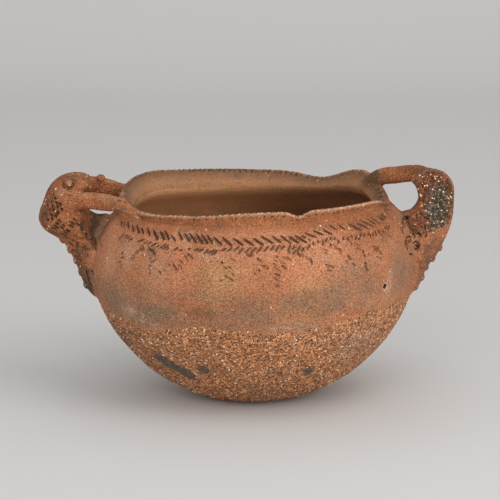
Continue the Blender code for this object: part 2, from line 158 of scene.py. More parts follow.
def outside_line():
    """The outside from the flat spot to the lip's crest."""
    line = [(0.25 * FOOT_RADIUS, 0.0), (0.6 * FOOT_RADIUS, 0.0), (0.9 * FOOT_RADIUS, 0.0)]
    rows = 34
    power_along, power_across = LOWER_CURVE
    for row in range(rows + 1):
        turn = math.pi / 2 * row / rows
        radius = FOOT_RADIUS + (BELLY_RADIUS - FOOT_RADIUS) * math.sin(turn) ** (2 / power_across)
        line.append((radius, BELLY_HEIGHT * (1 - math.cos(turn) ** (2 / power_along))))
    rows = 18
    for row in range(1, rows + 1):
        height = BELLY_HEIGHT + (NECK_HEIGHT - BELLY_HEIGHT) * row / rows
        line.append((outer_radius(height), height))
    middle, half = RIM_RADIUS - LIP_THICKNESS / 2, LIP_THICKNESS / 2
    for turn in (-12, 15, 40, 65, 90):
        bend = math.radians(turn)
        height = RIM_HEIGHT - 0.55 * half + 0.55 * half * math.sin(bend)
        line.append((middle + half * math.cos(bend), height))
    return line


def inside_line(outside):
    """The inside from the middle of the floor up to the ridge, the collar and the lip's crest."""
    line = []
    for index in range(2, len(outside) - 8, 2):
        before, (radius, height), after = outside[index - 1], outside[index], outside[index + 1]
        run, rise = after[0] - before[0], after[1] - before[1]
        length = math.hypot(run, rise)
        line.append((radius - WALL * rise / length, height + WALL * run / length))
    return [
        (0.25 * FOOT_RADIUS, WALL),
        *(point for point in line if point[1] < RIDGE_HEIGHT - 2.5 * MM),
        (RIDGE_RADIUS + 0.35 * MM, RIDGE_HEIGHT - 1.3 * MM),
        (RIDGE_RADIUS, RIDGE_HEIGHT),
        (RIDGE_RADIUS + 0.4 * MM, RIDGE_HEIGHT + 0.9 * MM),
        (RIM_RADIUS - 1.35 * LIP_THICKNESS, RIM_HEIGHT - 2.0 * MM),
        (RIM_RADIUS - 0.98 * LIP_THICKNESS, RIM_HEIGHT - 0.75 * MM),
    ]


def closed(mesh):
    """Faces outwards, and gives the mesh back."""
    bmesh.ops.remove_doubles(mesh, verts=mesh.verts, dist=0.001 * MM)
    mesh.normal_update()
    bmesh.ops.recalc_face_normals(mesh, faces=mesh.faces)
    return mesh


def part(name, mesh):
    """An object on the origin that holds the mesh."""
    data = bpy.data.meshes.new(name)
    mesh.to_mesh(data)
    mesh.free()
    made = bpy.data.objects.new(name, data)
    bpy.context.scene.collection.objects.link(made)
    return made


outside = outside_line()
inside = inside_line(outside)
wall_mesh = bmesh.new()
spin_line(wall_mesh, outside, columns=200)
spin_line(wall_mesh, inside, columns=100)
lip_rings = open_ring(wall_mesh, outside[-1]) + open_ring(wall_mesh, inside[-1])
bmesh.ops.bridge_loops(wall_mesh, edges=lip_rings)
for end in (outside[0], inside[0]):
    bmesh.ops.edgeloop_fill(wall_mesh, edges=open_ring(wall_mesh, end))
for vert in wall_mesh.verts:
    weather(vert)
bmesh.ops.triangulate(wall_mesh, faces=wall_mesh.faces)
closed(wall_mesh)
wall_tree = BVHTree.FromBMesh(wall_mesh)
pot = part("pot", wall_mesh)


# The lugs
# Two animal heads of the same clay, each on a keel that is pressed on to the shoulder. A row of clay
# pellets runs up each keel, and fingers hollowed the clay out under the straps.
LUG_BURY = 1.5 * MM
LUG_REACH = 30.5 * MM
LUG_HALF_WIDTH = 13.0 * MM
SHOULDER_HEIGHT = RIM_HEIGHT - BELLY_HEIGHT
PELLET_RADIUS = 1.8 * MM
EYE_RADIUS = 2.7 * MM
EYEBALL_RADIUS = 1.4 * MM
EYE_DEPTH = 1.5 * MM


def oval(sides, exponent):
    """(across, along) pairs of a rounded square ring with both half-sizes 1."""
    for index in range(sides):
        angle = math.tau * (index + 0.5) / sides
        across, along = math.cos(angle), math.sin(angle)
        yield (
            math.copysign(abs(across) ** (2 / exponent), across),
            math.copysign(abs(along) ** (2 / exponent), along),
        )


def loft(rings):
    """A closed skin over rings of points."""
    mesh = bmesh.new()
    loops = []
    for ring in rings:
        points = [mesh.verts.new(point) for point in ring]
        loops.append([mesh.edges.new(pair) for pair in zip(points, points[1:] + points[:1])])
    for near, far in zip(loops, loops[1:]):
        bmesh.ops.bridge_loops(mesh, edges=near + far)
    for end in (loops[0], loops[-1]):
        bmesh.ops.edgeloop_fill(mesh, edges=end)
    return closed(mesh)


def from_lip(out, up):
    """(out, up) from the lip's outer edge, in shares of the lug's reach and of the shoulder's height."""
    return Vector((RIM_RADIUS + out * LUG_REACH, RIM_HEIGHT + up * SHOULDER_HEIGHT))


def keel_sections(proud, widths):
    """The lower lug, which lies on the wall from its tip up to where the neck leaves the shoulder."""
    rings = []
    for up, stands, width in zip((-0.546, -0.346, -0.096, 0.123), proud, widths):
        height = BELLY_HEIGHT + up * SHOULDER_HEIGHT
        half_width = LUG_HALF_WIDTH * width
        buried = height + 0.062 * SHOULDER_HEIGHT
        inner = Vector((math.sqrt((outer_radius(buried) - LUG_BURY) ** 2 - half_width**2), buried))
        rings.append((Vector((outer_radius(height) + stands * LUG_REACH, height)), inner, half_width, 0.06))
    return rings


# From the tip of the keel to the crown: outer line, inner line, half width, place of the waist
LEFT_SECTIONS = keel_sections((0.039, 0.118, 0.161, 0.252), (0.54, 0.91, 1.0, 1.0)) + [
    (from_lip(0.725, -0.677), from_lip(0.092, -0.369), 0.985 * LUG_HALF_WIDTH, 0.3),
    (from_lip(0.918, -0.519), from_lip(0.275, -0.319), 0.954 * LUG_HALF_WIDTH, 0.45),
    (from_lip(1.000, -0.346), from_lip(0.387, -0.231), 0.923 * LUG_HALF_WIDTH, 0.5),
    (from_lip(0.948, -0.115), from_lip(0.426, -0.096), 0.892 * LUG_HALF_WIDTH, 0.5),
    (from_lip(0.859, 0.115), from_lip(0.413, 0.000), 0.877 * LUG_HALF_WIDTH, 0.5),
    (from_lip(0.718, 0.269), from_lip(0.393, 0.038), 0.846 * LUG_HALF_WIDTH, 0.5),
    (from_lip(0.525, 0.315), from_lip(0.374, 0.062), 0.769 * LUG_HALF_WIDTH, 0.5),
    (from_lip(0.380, 0.277), from_lip(0.341, 0.100), 0.615 * LUG_HALF_WIDTH, 0.5),
]
RIGHT_SECTIONS = keel_sections((0.007, 0.092, 0.144, 0.289), (0.46, 0.69, 0.81, 0.88)) + [
    (from_lip(0.761, -0.558), from_lip(0.098, -0.369), 0.923 * LUG_HALF_WIDTH, 0.3),
    (from_lip(0.807, -0.308), from_lip(0.289, -0.246), 0.923 * LUG_HALF_WIDTH, 0.5),
    (from_lip(0.820, -0.077), from_lip(0.374, -0.092), 0.892 * LUG_HALF_WIDTH, 0.5),
    (from_lip(0.807, 0.169), from_lip(0.354, 0.069), 0.877 * LUG_HALF_WIDTH, 0.5),
    (from_lip(0.689, 0.331), from_lip(0.308, 0.162), 0.800 * LUG_HALF_WIDTH, 0.5),
    (from_lip(0.459, 0.392), from_lip(0.282, 0.200), 0.662 * LUG_HALF_WIDTH, 0.5),
]


def columns_through(rows, share):
    """The columns of a table of rows, each read as a smooth curve at a share of its length."""
    return [through(column, share) for column in zip(*rows)]


def lug_ring(sections, share, side):
    """One ring across a lug. The waist is where between inner and outer it is widest."""
    outer, inner, half_width, waist = columns_through(sections, share)
    ring = []
    for across, along in oval(32, 2.4):
        place = waist + (1 - waist) * along if along > 0 else waist + waist * along
        middle = inner + (outer - inner) * place
        ring.append(Vector((side * middle.x, half_width * across, middle.y)))
    return ring


def lug_surface(sections, share, across):
    """A point on the outer face of a lug and the way it faces, in (out, across, up)."""
    outer, inner, half_width, waist = columns_through(sections, share)
    along = math.sqrt(1 - across**2)
    middle = inner + (outer - inner) * (waist + (1 - waist) * along)
    facing = (outer - inner).normalized()
    point = Vector((middle.x, half_width * across, middle.y))
    return point, Vector((facing.x * along, across, facing.y * along)).normalized()


def turn_to(mesh, point, facing, sides=(1, 1)):
    """Turns a mesh made upright on the origin to face outwards from a point of a lug."""
    turn = facing.to_track_quat("Z", "X").to_matrix().to_4x4()
    bmesh.ops.transform(mesh, matrix=Matrix.Translation(point) @ turn, verts=mesh.verts)
    bmesh.ops.scale(mesh, vec=(*sides, 1), verts=mesh.verts)
    return closed(mesh)


def combine(base, mesh, operation):
    """Joins a closed shape to the base or cuts it out, for good."""
    other = part("clay", mesh)
    step = base.modifiers.new("step", "BOOLEAN")
    step.operation = operation
    step.object = other
    step.solver = "EXACT"
    depsgraph = bpy.context.evaluated_depsgraph_get()
    joined = bpy.data.meshes.new_from_object(base.evaluated_get(depsgraph))
    base.modifiers.clear()
    old = base.data
    base.data = joined
    bpy.data.meshes.remove(old)
    bpy.data.meshes.remove(other.data)


def ball(radius, subdivisions=3):
    """A ball of clay on the origin."""
    mesh = bmesh.new()
    bmesh.ops.create_icosphere(mesh, subdivisions=subdivisions, radius=radius)
    return mesh


def build_lug(sections, side, scooped):
    """The head and keel, hollowed under its straps, with its eyes and pellets."""
    rings = 46
    lug = part("lug", loft([lug_ring(sections, index / (rings - 1), side) for index in range(rings)]))
    for across_side in scooped:
        scoop = ball(1.0, subdivisions=4)
        half_sizes = (0.236 * LUG_REACH, 0.77 * LUG_HALF_WIDTH, 0.423 * SHOULDER_HEIGHT)
        bmesh.ops.scale(scoop, vec=half_sizes, verts=scoop.verts)
        middle = (
            side * (RIM_RADIUS + 0.243 * LUG_REACH), across_side * 1.154 * LUG_HALF_WIDTH,
            RIM_HEIGHT - 0.288 * SHOULDER_HEIGHT,
        )
        bmesh.ops.translate(scoop, vec=middle, verts=scoop.verts)
        combine(lug, closed(scoop), "DIFFERENCE")
    places = [(0.08 + 0.07 * step, 0.0) for step in range(5)]
    places += [(0.31, 0.97), (0.31, -0.97), (0.26, 0.85), (0.26, -0.85)]
    for share, across in places:
        point, facing = lug_surface(sections, share, across)
        pellet = ball(PELLET_RADIUS)
        bmesh.ops.scale(pellet, vec=(1, 1, 0.75), verts=pellet.verts)
        combine(lug, turn_to(pellet, point - facing * 0.2 * PELLET_RADIUS, facing, (side, 1)), "UNION")
    for across_side in (-1, 1):
        point, facing = lug_surface(sections, 0.835, 0.9)
        socket = bmesh.new()
        bmesh.ops.create_cone(
            socket, cap_ends=True, segments=32, radius1=EYE_RADIUS, radius2=EYE_RADIUS, depth=2 * EYE_DEPTH,
        )
        place = point - facing * 0.1 * EYE_DEPTH
        combine(lug, turn_to(socket, place, facing, (side, across_side)), "DIFFERENCE")
        place = point - facing * EYE_DEPTH
        combine(lug, turn_to(ball(EYEBALL_RADIUS), place, facing, (side, across_side)), "UNION")
    return lug


left_lug = build_lug(LEFT_SECTIONS, -1, (-1, 1))
right_lug = build_lug(RIGHT_SECTIONS, 1, (1,))


# The broken cheek
# The near half of the right head has snapped off. A slab with a rippled, dished underside cuts it away,
# and the scar that it leaves is gritty, with a grey unburnt core.
BREAK_DEPTH = 1.2 * MM
cutter = bmesh.new()
bmesh.ops.create_grid(cutter, x_segments=30, y_segments=30, size=1.08 * LUG_HALF_WIDTH)
for vert in cutter.verts:
    x, y = vert.co.x / LUG_HALF_WIDTH, vert.co.y / LUG_HALF_WIDTH
    ripple = 0.35 * math.sin(8.1 * x + 1.0) * math.cos(9.2 * y)
    dish = math.exp(-((math.hypot(x, y) / 0.62) ** 2))
    run_out = 5.8 * smooth_step(-y, 0.42, 1.08)
    vert.co.z = BREAK_DEPTH * (ripple - dish + run_out)
grown = bmesh.ops.extrude_face_region(cutter, geom=cutter.faces[:])["geom"]
for vert in grown:
    if isinstance(vert, bmesh.types.BMVert):
        vert.co.z = 1.23 * LUG_HALF_WIDTH
facing = Vector((-0.1, -1.0, 0.12)).normalized()
middle = Vector((
    RIM_RADIUS + 0.639 * LUG_REACH, -0.485 * LUG_HALF_WIDTH, RIM_HEIGHT - 0.096 * SHOULDER_HEIGHT,
))
turn = facing.to_track_quat("Z", "Y").to_matrix().to_4x4()
bmesh.ops.transform(cutter, matrix=Matrix.Translation(middle) @ turn, verts=cutter.verts)
scar_mesh = closed(cutter).copy()
combine(right_lug, cutter, "DIFFERENCE")


# The straps
# Flat straps of clay run from each side of a head to the inner face of the lip, and tie the head back.
# The right near strap has snapped, and only its stub is left on the lip.
STRAP_HEIGHT = 6.6 * MM
STRAP_THICKNESS = 4.6 * MM
STRAP_SPREAD = 10.2 * MM
# Side, near (-1) or far (1), rise of its middle at the head, drops at the lip and at its end, first ring
STRAPS = (
    (-1, -1, -1.0 * MM, 1.3 * MM, 4.5 * MM, 0),
    (-1, 1, 1.9 * MM, 5.2 * MM, 6.5 * MM, 0),
    (1, 1, 6.6 * MM, -2.2 * MM, 5.4 * MM, 0),
    (1, -1, 0.0 * MM, 4.0 * MM, 6.5 * MM, 32),
)


def build_strap(side, across_side, rise, root_drop, end_drop, first_ring):
    """A flat strap from inside the head to the inner face of the lip."""
    def on_lip(inside, across, drop):
        out = RIM_RADIUS - inside
        lip = RIM_HEIGHT + wave(LIP_WAVE, math.atan2(across_side * across, side * out))
        return Vector((out, across, lip - drop))

    root = on_lip(0.73 * LIP_THICKNESS, 1.44 * STRAP_SPREAD, root_drop)
    head_height = RIM_HEIGHT + rise
    route = [
        Vector((RIM_RADIUS + 0.59 * LUG_REACH, 0.55 * STRAP_SPREAD, head_height - 0.25 * STRAP_HEIGHT)),
        Vector((RIM_RADIUS + 0.393 * LUG_REACH, STRAP_SPREAD, head_height)),
        Vector((RIM_RADIUS + 0.131 * LUG_REACH, 1.12 * STRAP_SPREAD, 0.65 * head_height + 0.35 * root.z)),
        root,
        on_lip(1.74 * WALL, 1.93 * STRAP_SPREAD, end_drop),
    ]
    rings = 40
    made = []
    for index in range(first_ring, rings + 1):
        share = index / rings
        middle = through(route, share)
        ahead = through(route, min(share + 0.02, 1)) - through(route, max(share - 0.02, 0))
        level = Vector((ahead.y, -ahead.x, 0)).normalized()
        upright = ahead.cross(level).normalized()
        spread_at_root = 1 + 0.3 * smooth_step(share, 0.6, 0.9)
        ring = []
        for across, along in oval(20, 2.8):
            point = middle + level * across * spread_at_root * STRAP_THICKNESS / 2
            point += upright * along * STRAP_HEIGHT / 2
            ring.append(Vector((side * point.x, across_side * point.y, point.z)))
        made.append(ring)
    return loft(made)


def mesh_of(thing):
    """The object's shape as a bmesh, and the object gone."""
    mesh = bmesh.new()
    mesh.from_mesh(thing.data)
    bpy.data.meshes.remove(thing.data)
    return mesh


clay_shapes = [mesh_of(left_lug), mesh_of(right_lug)] + [build_strap(*strap) for strap in STRAPS]
clay_trees = [BVHTree.FromBMesh(shape) for shape in clay_shapes]
for shape in clay_shapes:
    combine(pot, shape, "UNION")
# The near left strap runs out along the lip: middles, half widths and half heights in millimetres
TAIL = (
    ((-52.6, -11.5, 76.6), 2.6, 1.6), ((-50.4, -16.4, 76.7), 2.9, 1.6), ((-47.6, -20.8, 75.9), 2.6, 1.5),
    ((-44.6, -24.9, 75.0), 2.0, 1.2), ((-42.0, -28.3, 74.3), 1.0, 0.6),
)
tail_rings = []
for index in range(17):
    middle, half_width, half_height = (
        through([np.array(station[kind]) * MM for station in TAIL], index / 16) for kind in range(3)
    )
    out = Vector((middle[0], middle[1], 0)).normalized()
    tail_rings.append([
        Vector(middle) + out * across * half_width + Vector((0, 0, along * half_height))
        for across, along in oval(12, 2.2)
    ])
tail = loft(tail_rings)
clay_trees.append(BVHTree.FromBMesh(tail))
combine(pot, tail, "UNION")
# A pellet lies on the far left strap
strap_top = RIM_HEIGHT + STRAPS[1][2] + STRAP_HEIGHT / 2
knob_place = Vector((RIM_RADIUS + 0.236 * LUG_REACH, STRAP_SPREAD, strap_top - PELLET_RADIUS / 2))
knob_facing = Vector((0.0, -0.3, 1.0)).normalized()
combine(pot, turn_to(ball(PELLET_RADIUS), knob_place, knob_facing, (-1, 1)), "UNION")


def outwards(degrees):
    """The level way out from the pot's axis at an angle."""
    return Vector((math.cos(math.radians(degrees)), math.sin(math.radians(degrees)), 0))


# A round hole goes through the wall on the right
HOLE_ANGLE = -39.1
HOLE_HEIGHT = 49.6 * MM
HOLE_RADIUS = 1.1 * MM
hole = bmesh.new()
bmesh.ops.create_cone(
    hole, cap_ends=True, segments=20, radius1=HOLE_RADIUS, radius2=HOLE_RADIUS, depth=4 * WALL,
)
outward = outwards(HOLE_ANGLE)
hole_place = outward * outer_radius(HOLE_HEIGHT) + Vector((0, 0, HOLE_HEIGHT))
combine(pot, turn_to(hole, hole_place, outward), "DIFFERENCE")


# The marks
# Cut and pressed into the wet clay: a herringbone of knife strokes over comb strokes, chains of short
# comb dashes that hang from it, notches along the lip, and holes, slashes and reed rings on the heads.
chance = random.Random(7)
pot_mesh = bmesh.new()
pot_mesh.from_mesh(pot.data)
pot_tree = BVHTree.FromBMesh(pot_mesh)
lines = []
samples = []


def cut_line(start, end, width, depth, dirt_and_shade, edge):
    """A stroke from start to end, in millimetres wide and deep, painted dark by dirt and painted shade. Edges
    near it are no longer than edge.
    """
    lines.append((start, end, width * MM, depth * MM, dirt_and_shade))
    steps = max(int((end - start).length / (0.4 * MM)), 1)
    samples.extend((start.lerp(end, step / steps), edge * MM) for step in range(steps + 1))


def on_wall(degrees, height):
    """The point of the wall's outside at an angle and a height."""
    outward = outwards(degrees)
    return wall_tree.ray_cast(outward * 2 * BELLY_RADIUS + Vector((0, 0, height)), -outward)[0]


def on_side(out, height, across_side):
    """A point of a lug's near (-1) or far (1) side, by distance from the axis and height, and its facing."""
    start = Vector((out * MM, across_side * 2 * BELLY_RADIUS, height * MM))
    return pot_tree.ray_cast(start, Vector((0, -across_side, 0)))[:2]


def cut_wall(first, top, last, bottom, width, depth, dirt_and_shade, edge=0.5):
    """A stroke on the wall between two angles in degrees and heights in millimetres."""
    start, end = on_wall(first, top * MM), on_wall(last, bottom * MM)
    if start is not None and end is not None and pot_tree.find_nearest(start.lerp(end, 0.5))[3] < 0.35 * MM:
        cut_line(start, end, width, depth, dirt_and_shade, edge)


# The front's knife strokes: angle and height of both ends, width and depth
for stroke in (
    (-156.9, 71.1, -153.2, 69.9, 0.9, 0.6), (-154.1, 71.4, -150.6, 69.7, 0.9, 0.6),
    (-151.1, 71.6, -146.9, 70, 0.9, 0.7), (-146.1, 71.1, -142.3, 69.2, 0.9, 0.75),
    (-143.2, 71.4, -138.7, 69.1, 0.9, 0.75), (-139.5, 71, -136.3, 69.3, 0.95, 0.75),
    (-136.1, 71.2, -132.7, 69.2, 1.1, 0.8), (-132.3, 70.9, -128.1, 68.2, 1.1, 0.9),
    (-128.8, 70.9, -125.1, 68.5, 1.2, 0.9), (-126.6, 71.3, -123, 68.7, 1.1, 0.85),
    (-122.5, 70.1, -120, 68.4, 0.8, 0.5), (-120, 71.2, -117.4, 69, 0.85, 0.65),
    (-117.5, 71.1, -114.1, 68.7, 0.9, 0.7), (-115.3, 71.3, -111.5, 68.6, 0.95, 0.8),
    (-112.4, 71.2, -108.9, 68.4, 1, 0.8), (-110, 71.1, -106.9, 68.4, 0.95, 0.8),
    (-107.9, 71.1, -105.3, 68.6, 0.9, 0.75), (-105, 70.5, -101.7, 68.3, 1, 0.85),
    (-101.4, 70.4, -97.9, 68.2, 1.1, 0.9), (-97.3, 70.4, -93.7, 68.3, 1, 0.85),
    (-93.4, 70.3, -89.9, 68.3, 1, 0.85), (-89.8, 70.5, -86.5, 68.4, 1, 0.8),
    (-87, 71.2, -82.9, 69, 1, 0.85), (-82.7, 71.2, -79.9, 69.3, 1, 0.85),
    (-79.5, 71.3, -77.1, 69.5, 1, 0.8), (-76.9, 69.4, -76.3, 68.9, 0.8, 0.4),
    (-76.3, 71, -73.4, 69, 1.1, 0.85), (-74, 71.3, -70.4, 69, 1, 0.8),
    (-71.4, 71.3, -70.3, 70.5, 0.8, 0.45), (-70.1, 72, -66.1, 70.5, 0.8, 0.5),
    (-69.3, 70.1, -68.8, 69.4, 0.6, 0.35), (-66.5, 72.6, -63.3, 71.1, 1, 0.65),
    (-62.5, 72.7, -59.7, 71, 0.9, 0.65), (-59.3, 74.1, -57, 72.4, 0.7, 0.3),
    (-54.9, 73.6, -53.4, 72.2, 0.7, 0.3), (-50.6, 73.7, -46.5, 71.2, 0.8, 0.45),
    (-46.3, 73.5, -42.7, 71.1, 0.8, 0.35), (-43.7, 74.1, -39.9, 71.6, 0.9, 0.5),
    (-40.8, 74.3, -38, 72.2, 0.7, 0.3), (-38.3, 74.6, -35, 72, 0.8, 0.35),
    (-34.1, 74.8, -31.9, 73, 0.7, 0.35), (-32.5, 75.1, -30.8, 72.8, 0.8, 0.45),
    (-30.9, 75.1, -29.3, 73.2, 0.7, 0.35), (-29.1, 75, -28, 73.5, 0.8, 0.4),
    (-24.1, 75.6, -25.8, 74.3, 0.8, 0.45), (-16.5, 75.1, -23.1, 74.9, 0.7, 0.3),
):
    cut_wall(*stroke, 1.0)
# The comb strokes under them
for stroke in (
    (-148.2, 67.1, -147.7, 67.8), (-146.4, 66.9, -144.6, 67.9), (-144.6, 66.7, -142.9, 67.6),
    (-142.8, 66.3, -140.9, 67.2), (-137.7, 66.5, -134.8, 67.6), (-133.8, 66.4, -132.8, 67.3),
    (-132.2, 66.3, -130.8, 67.2), (-130, 65.9, -127.9, 67.1), (-127.2, 66, -126.3, 66.4),
    (-125.8, 65.5, -123.8, 67.2), (-124.4, 65.3, -122.3, 66.9), (-122.8, 65.3, -121.7, 66),
    (-119.6, 65.5, -118.2, 66.3), (-117.3, 65.5, -116.4, 65.9), (-114, 66.1, -113.4, 66.6),
    (-111.6, 65.9, -110.2, 66.8), (-110.2, 65.8, -108.3, 66.6), (-107.6, 65, -106.5, 66.6),
    (-106.2, 65.3, -104.3, 66.5), (-104.9, 64.9, -103.2, 65.8), (-104.2, 66.1, -102.8, 66.3),
    (-101.5, 66.4, -99.9, 67.2), (-99.2, 66.3, -97.8, 67.5), (-97, 66.4, -95.2, 68),
    (-95.3, 65.5, -93.8, 67.5), (-93, 65.8, -91, 67.6), (-90.9, 65.9, -89, 67.6), (-88.9, 65.8, -86.9, 68),
    (-86.3, 66.3, -84.6, 68), (-84, 66.6, -82.5, 68.3), (-82.2, 66.2, -80.5, 68.4),
    (-80.2, 66.8, -78.7, 68.2), (-77.9, 66.2, -76.5, 68.3), (-76, 66.8, -75, 68.1),
    (-76.2, 65.3, -74.7, 66.5), (-74.5, 66.2, -72.8, 68.1), (-72.8, 66, -71.8, 67.2),
    (-70.7, 66.6, -69.3, 68.3), (-68.1, 67.9, -67.9, 69), (-66, 68.6, -65.8, 69.4),
    (-64.7, 67.7, -63.8, 69.5), (-63.1, 68.7, -62.2, 69.9), (-61.1, 69.3, -60.4, 70.1),
    (-59.6, 69.2, -58.7, 69.9), (-58.5, 67.9, -57.5, 69), (-55.9, 68.9, -55.3, 69.9),
    (-54.1, 68.7, -53.4, 69.6), (-52.2, 69.5, -51.6, 70), (-50.7, 68.4, -49.6, 69.5),
    (-49.1, 68.2, -48.5, 68.9), (-48, 69.2, -47.5, 70.1), (-46.5, 68.9, -45.7, 69.8),
    (-44.5, 69.1, -43.6, 70.1), (-43.4, 68.3, -43.1, 69.5), (-41.9, 68.4, -41.3, 69.6),
    (-40.3, 68.5, -39.8, 70.1), (-38.3, 69, -37.7, 70.3), (-37.2, 68, -37.1, 68.8), (-35.2, 69, -36, 69.7),
    (-33.3, 69.9, -33.4, 70.7), (-31.7, 69.9, -31.3, 71), (-30.3, 69.9, -29.4, 70.9),
):
    cut_wall(*stroke, 0.75, chance.uniform(0.4, 0.55), 0.85)
# Dashes that hang from the band in chains: faint ones, and deep ones with their width and depth
for stroke in (
    (-144.4, 62.1, -143.1, 61.2), (-144.1, 59.6, -141.8, 60.3), (-144.6, 58.1, -142.8, 58.5),
    (-142.4, 57.7, -142, 56.3), (-148.6, 66.9, -148.3, 65.1), (-135.2, 64.5, -133.8, 63.8),
    (-136.2, 63.8, -134.8, 63.1), (-136.5, 63, -135.3, 62.3), (-137.8, 61.6, -136.3, 60.9),
    (-138.3, 60.6, -136.1, 59.9), (-126.9, 63.2, -126.4, 62.5), (-128.9, 62.1, -128, 60.8),
    (-128.5, 59, -127.6, 59.4), (-128.3, 58, -127.1, 57.3), (-127.8, 56.8, -127.5, 56),
    (-112.7, 64.4, -111.6, 63.1), (-114.7, 63.9, -113.1, 62.1), (-116.3, 62.1, -115, 61.4),
    (-116.6, 60.8, -115, 59.5), (-120.6, 60.5, -119.5, 60.1), (-122.2, 58.7, -121.2, 58),
    (-101.4, 56.1, -100.5, 56.4), (-98.3, 64.1, -96.4, 63.1), (-97.4, 58.9, -96.4, 58),
    (-98.3, 57.1, -96.7, 56.3), (-99.6, 58.1, -98.7, 57.3), (-100.1, 60.8, -99, 60.3),
    (-98.7, 61, -97.5, 60.5), (-89.6, 59, -89.1, 58.3), (-80, 64.4, -77.9, 63.5),
    (-78.3, 64.4, -76.9, 62.9), (-80.9, 62.9, -79, 61.9), (-82.6, 63.2, -81.7, 62.9),
    (-82.6, 60.8, -80.5, 59), (-83.5, 57.4, -81.4, 55.9), (-82.7, 54.4, -81.4, 54.2),
    (-83.1, 62.2, -82.6, 61.7), (-73.3, 65.1, -72.5, 63.9), (-73.2, 65.1, -72.2, 64.7),
    (-71.4, 64.3, -71, 63.1), (-77.6, 66.1, -77.1, 65.4), (-60.2, 67.5, -59.1, 66),
    (-58.5, 65.1, -58, 64.1), (-64.6, 66.3, -63.2, 65.7), (-64.3, 65.1, -63.3, 64.5),
    (-53.6, 68.5, -52.6, 67.1), (-51.5, 67.5, -49.6, 66.2), (-51.1, 65.7, -49.4, 64.7),
    (-49.1, 58.8, -48.2, 57.9), (-48.7, 57.5, -47.7, 57), (-44.2, 65.3, -41.2, 64.6),
    (-43.7, 64.6, -41.2, 64.1), (-43.7, 63.8, -41.5, 63.3), (-43.1, 61.4, -40.8, 60.3),
    (-41, 62.9, -40, 61.9), (-64.8, 61, -63.4, 60.2), (-63.5, 60.7, -61.8, 59.8),
    (-64.5, 58.9, -63.1, 58.6), (-32.3, 67.4, -31.1, 66.2), (-46.5, 63.3, -46.1, 62.4),
    (-40.8, 60.9, -40.3, 59.9), (-56.9, 61.6, -56, 60.8), (-54.2, 60.5, -53.4, 59.7),
):
    cut_wall(*stroke, 0.65, chance.uniform(0.3, 0.45), chance.uniform(0.35, 0.65))
for stroke in (
    (-134.5, 65.6, -132.8, 64.1, 0.9, 0.6), (-131, 65, -128.7, 64.2, 1.2, 0.9),
    (-128.7, 64.2, -128.1, 65, 1, 0.8), (-128.5, 64.1, -127.2, 63.2, 1.4, 1),
    (-127.8, 60.3, -125.9, 61.8, 0.6, 0.25), (-113.7, 64.7, -113.3, 64.1, 1, 0.7),
    (-118.6, 60.7, -116.6, 58.4, 0.8, 0.5), (-123.6, 57.5, -122.9, 56.9, 1, 0.6),
    (-101, 62.6, -100.6, 62.3, 1.1, 0.9), (-92.4, 65.4, -91.2, 64.6, 0.9, 0.5),
    (-90.9, 65.6, -90.3, 64.8, 0.9, 0.4), (-88.8, 64.1, -87.1, 62.8, 0.6, 0.25),
    (-88.2, 60.2, -87.9, 59.5, 1, 0.6), (-87.1, 61.3, -85.7, 61.4, 0.7, 0.3),
    (-85.4, 61, -85.1, 60.3, 0.8, 0.4), (-81.9, 64.7, -81.6, 64.2, 0.9, 0.5),
    (-80.4, 61.4, -78.6, 60.2, 0.7, 0.45), (-82.8, 58.7, -81, 57.8, 0.7, 0.5),
    (-74.4, 66.5, -73.8, 64.5, 0.9, 0.6), (-70.1, 63.5, -69.5, 61.7, 0.9, 0.6),
    (-61.6, 68, -61.2, 67.3, 1, 0.7), (-58.5, 66.1, -57.6, 65.2, 0.8, 0.5),
    (-55.7, 63.5, -54.5, 62, 0.9, 0.55), (-48.7, 64.5, -48.5, 63.2, 0.8, 0.5),
    (-48.6, 62.9, -48.3, 62.1, 0.8, 0.5), (-49, 60.1, -48.2, 59.5, 0.9, 0.6),
):
    cut_wall(*stroke, 0.65)
# The back has the same band and chains
BACK_START, BACK_END = 22.0, 158.0
angle = BACK_START
while angle < BACK_END:
    band = 70.2 + wave(BAND_WAVE, math.radians(angle)) / MM
    reach, drop = chance.uniform(1.5, 1.9), chance.uniform(1.0, 1.3)
    cut_wall(
        angle - reach, band + drop, angle + reach, band - drop, chance.uniform(0.9, 1.1), 0.8, 1.0, 0.75,
    )
    angle += chance.uniform(2.7, 3.6)
angle = BACK_START
while angle < BACK_END:
    band = 66.9 + wave(BAND_WAVE, math.radians(angle)) / MM
    reach, rise = chance.uniform(0.7, 0.95), chance.uniform(0.75, 1.1)
    cut_wall(angle - reach, band - rise, angle + reach, band + rise, 0.75, 0.45, 0.9, 0.75)
    angle += chance.uniform(1.6, 2.0)
for first, shift in ((32, 4), (48, -5), (66, 3), (84, 5), (101, -6), (118, 4), (134, -4), (148, 3)):
    for number in range(8):
        degrees, height = first + shift * number / 7, 64.8 - 1.1 * number + chance.uniform(-0.3, 0.3)
        lean = math.copysign(chance.uniform(0.4, 0.7), shift)
        cut_wall(degrees - 0.7, height + lean, degrees + 0.7, height - lean, 0.7, 0.4, 0.75, 0.75)

# The notches are pressed down into the lip's outer edge, and are worn unevenly.
angle = -180.0
while angle < 180:
    out = outwards(angle)
    above = out * (RIM_RADIUS - 0.6 * LIP_THICKNESS) + Vector((0, 0, 2 * RIM_HEIGHT))
    crest = wall_tree.ray_cast(above, Vector((0, 0, -1)))[0]
    if crest is not None and pot_tree.find_nearest(crest)[3] < 0.3 * MM:
        edge = on_wall(angle, crest.z - 1.2 * MM)
        depth = chance.uniform(0.6, 1.3)
        within = crest - 1.3 * MM * out + Vector((0, 0, 0.2 * MM))
        cut_line(within, edge, 1.5, depth, 0.6 * depth, 0.62 if edge.y < 0 else 0.85)
    angle += chance.uniform(2.1, 3.4)

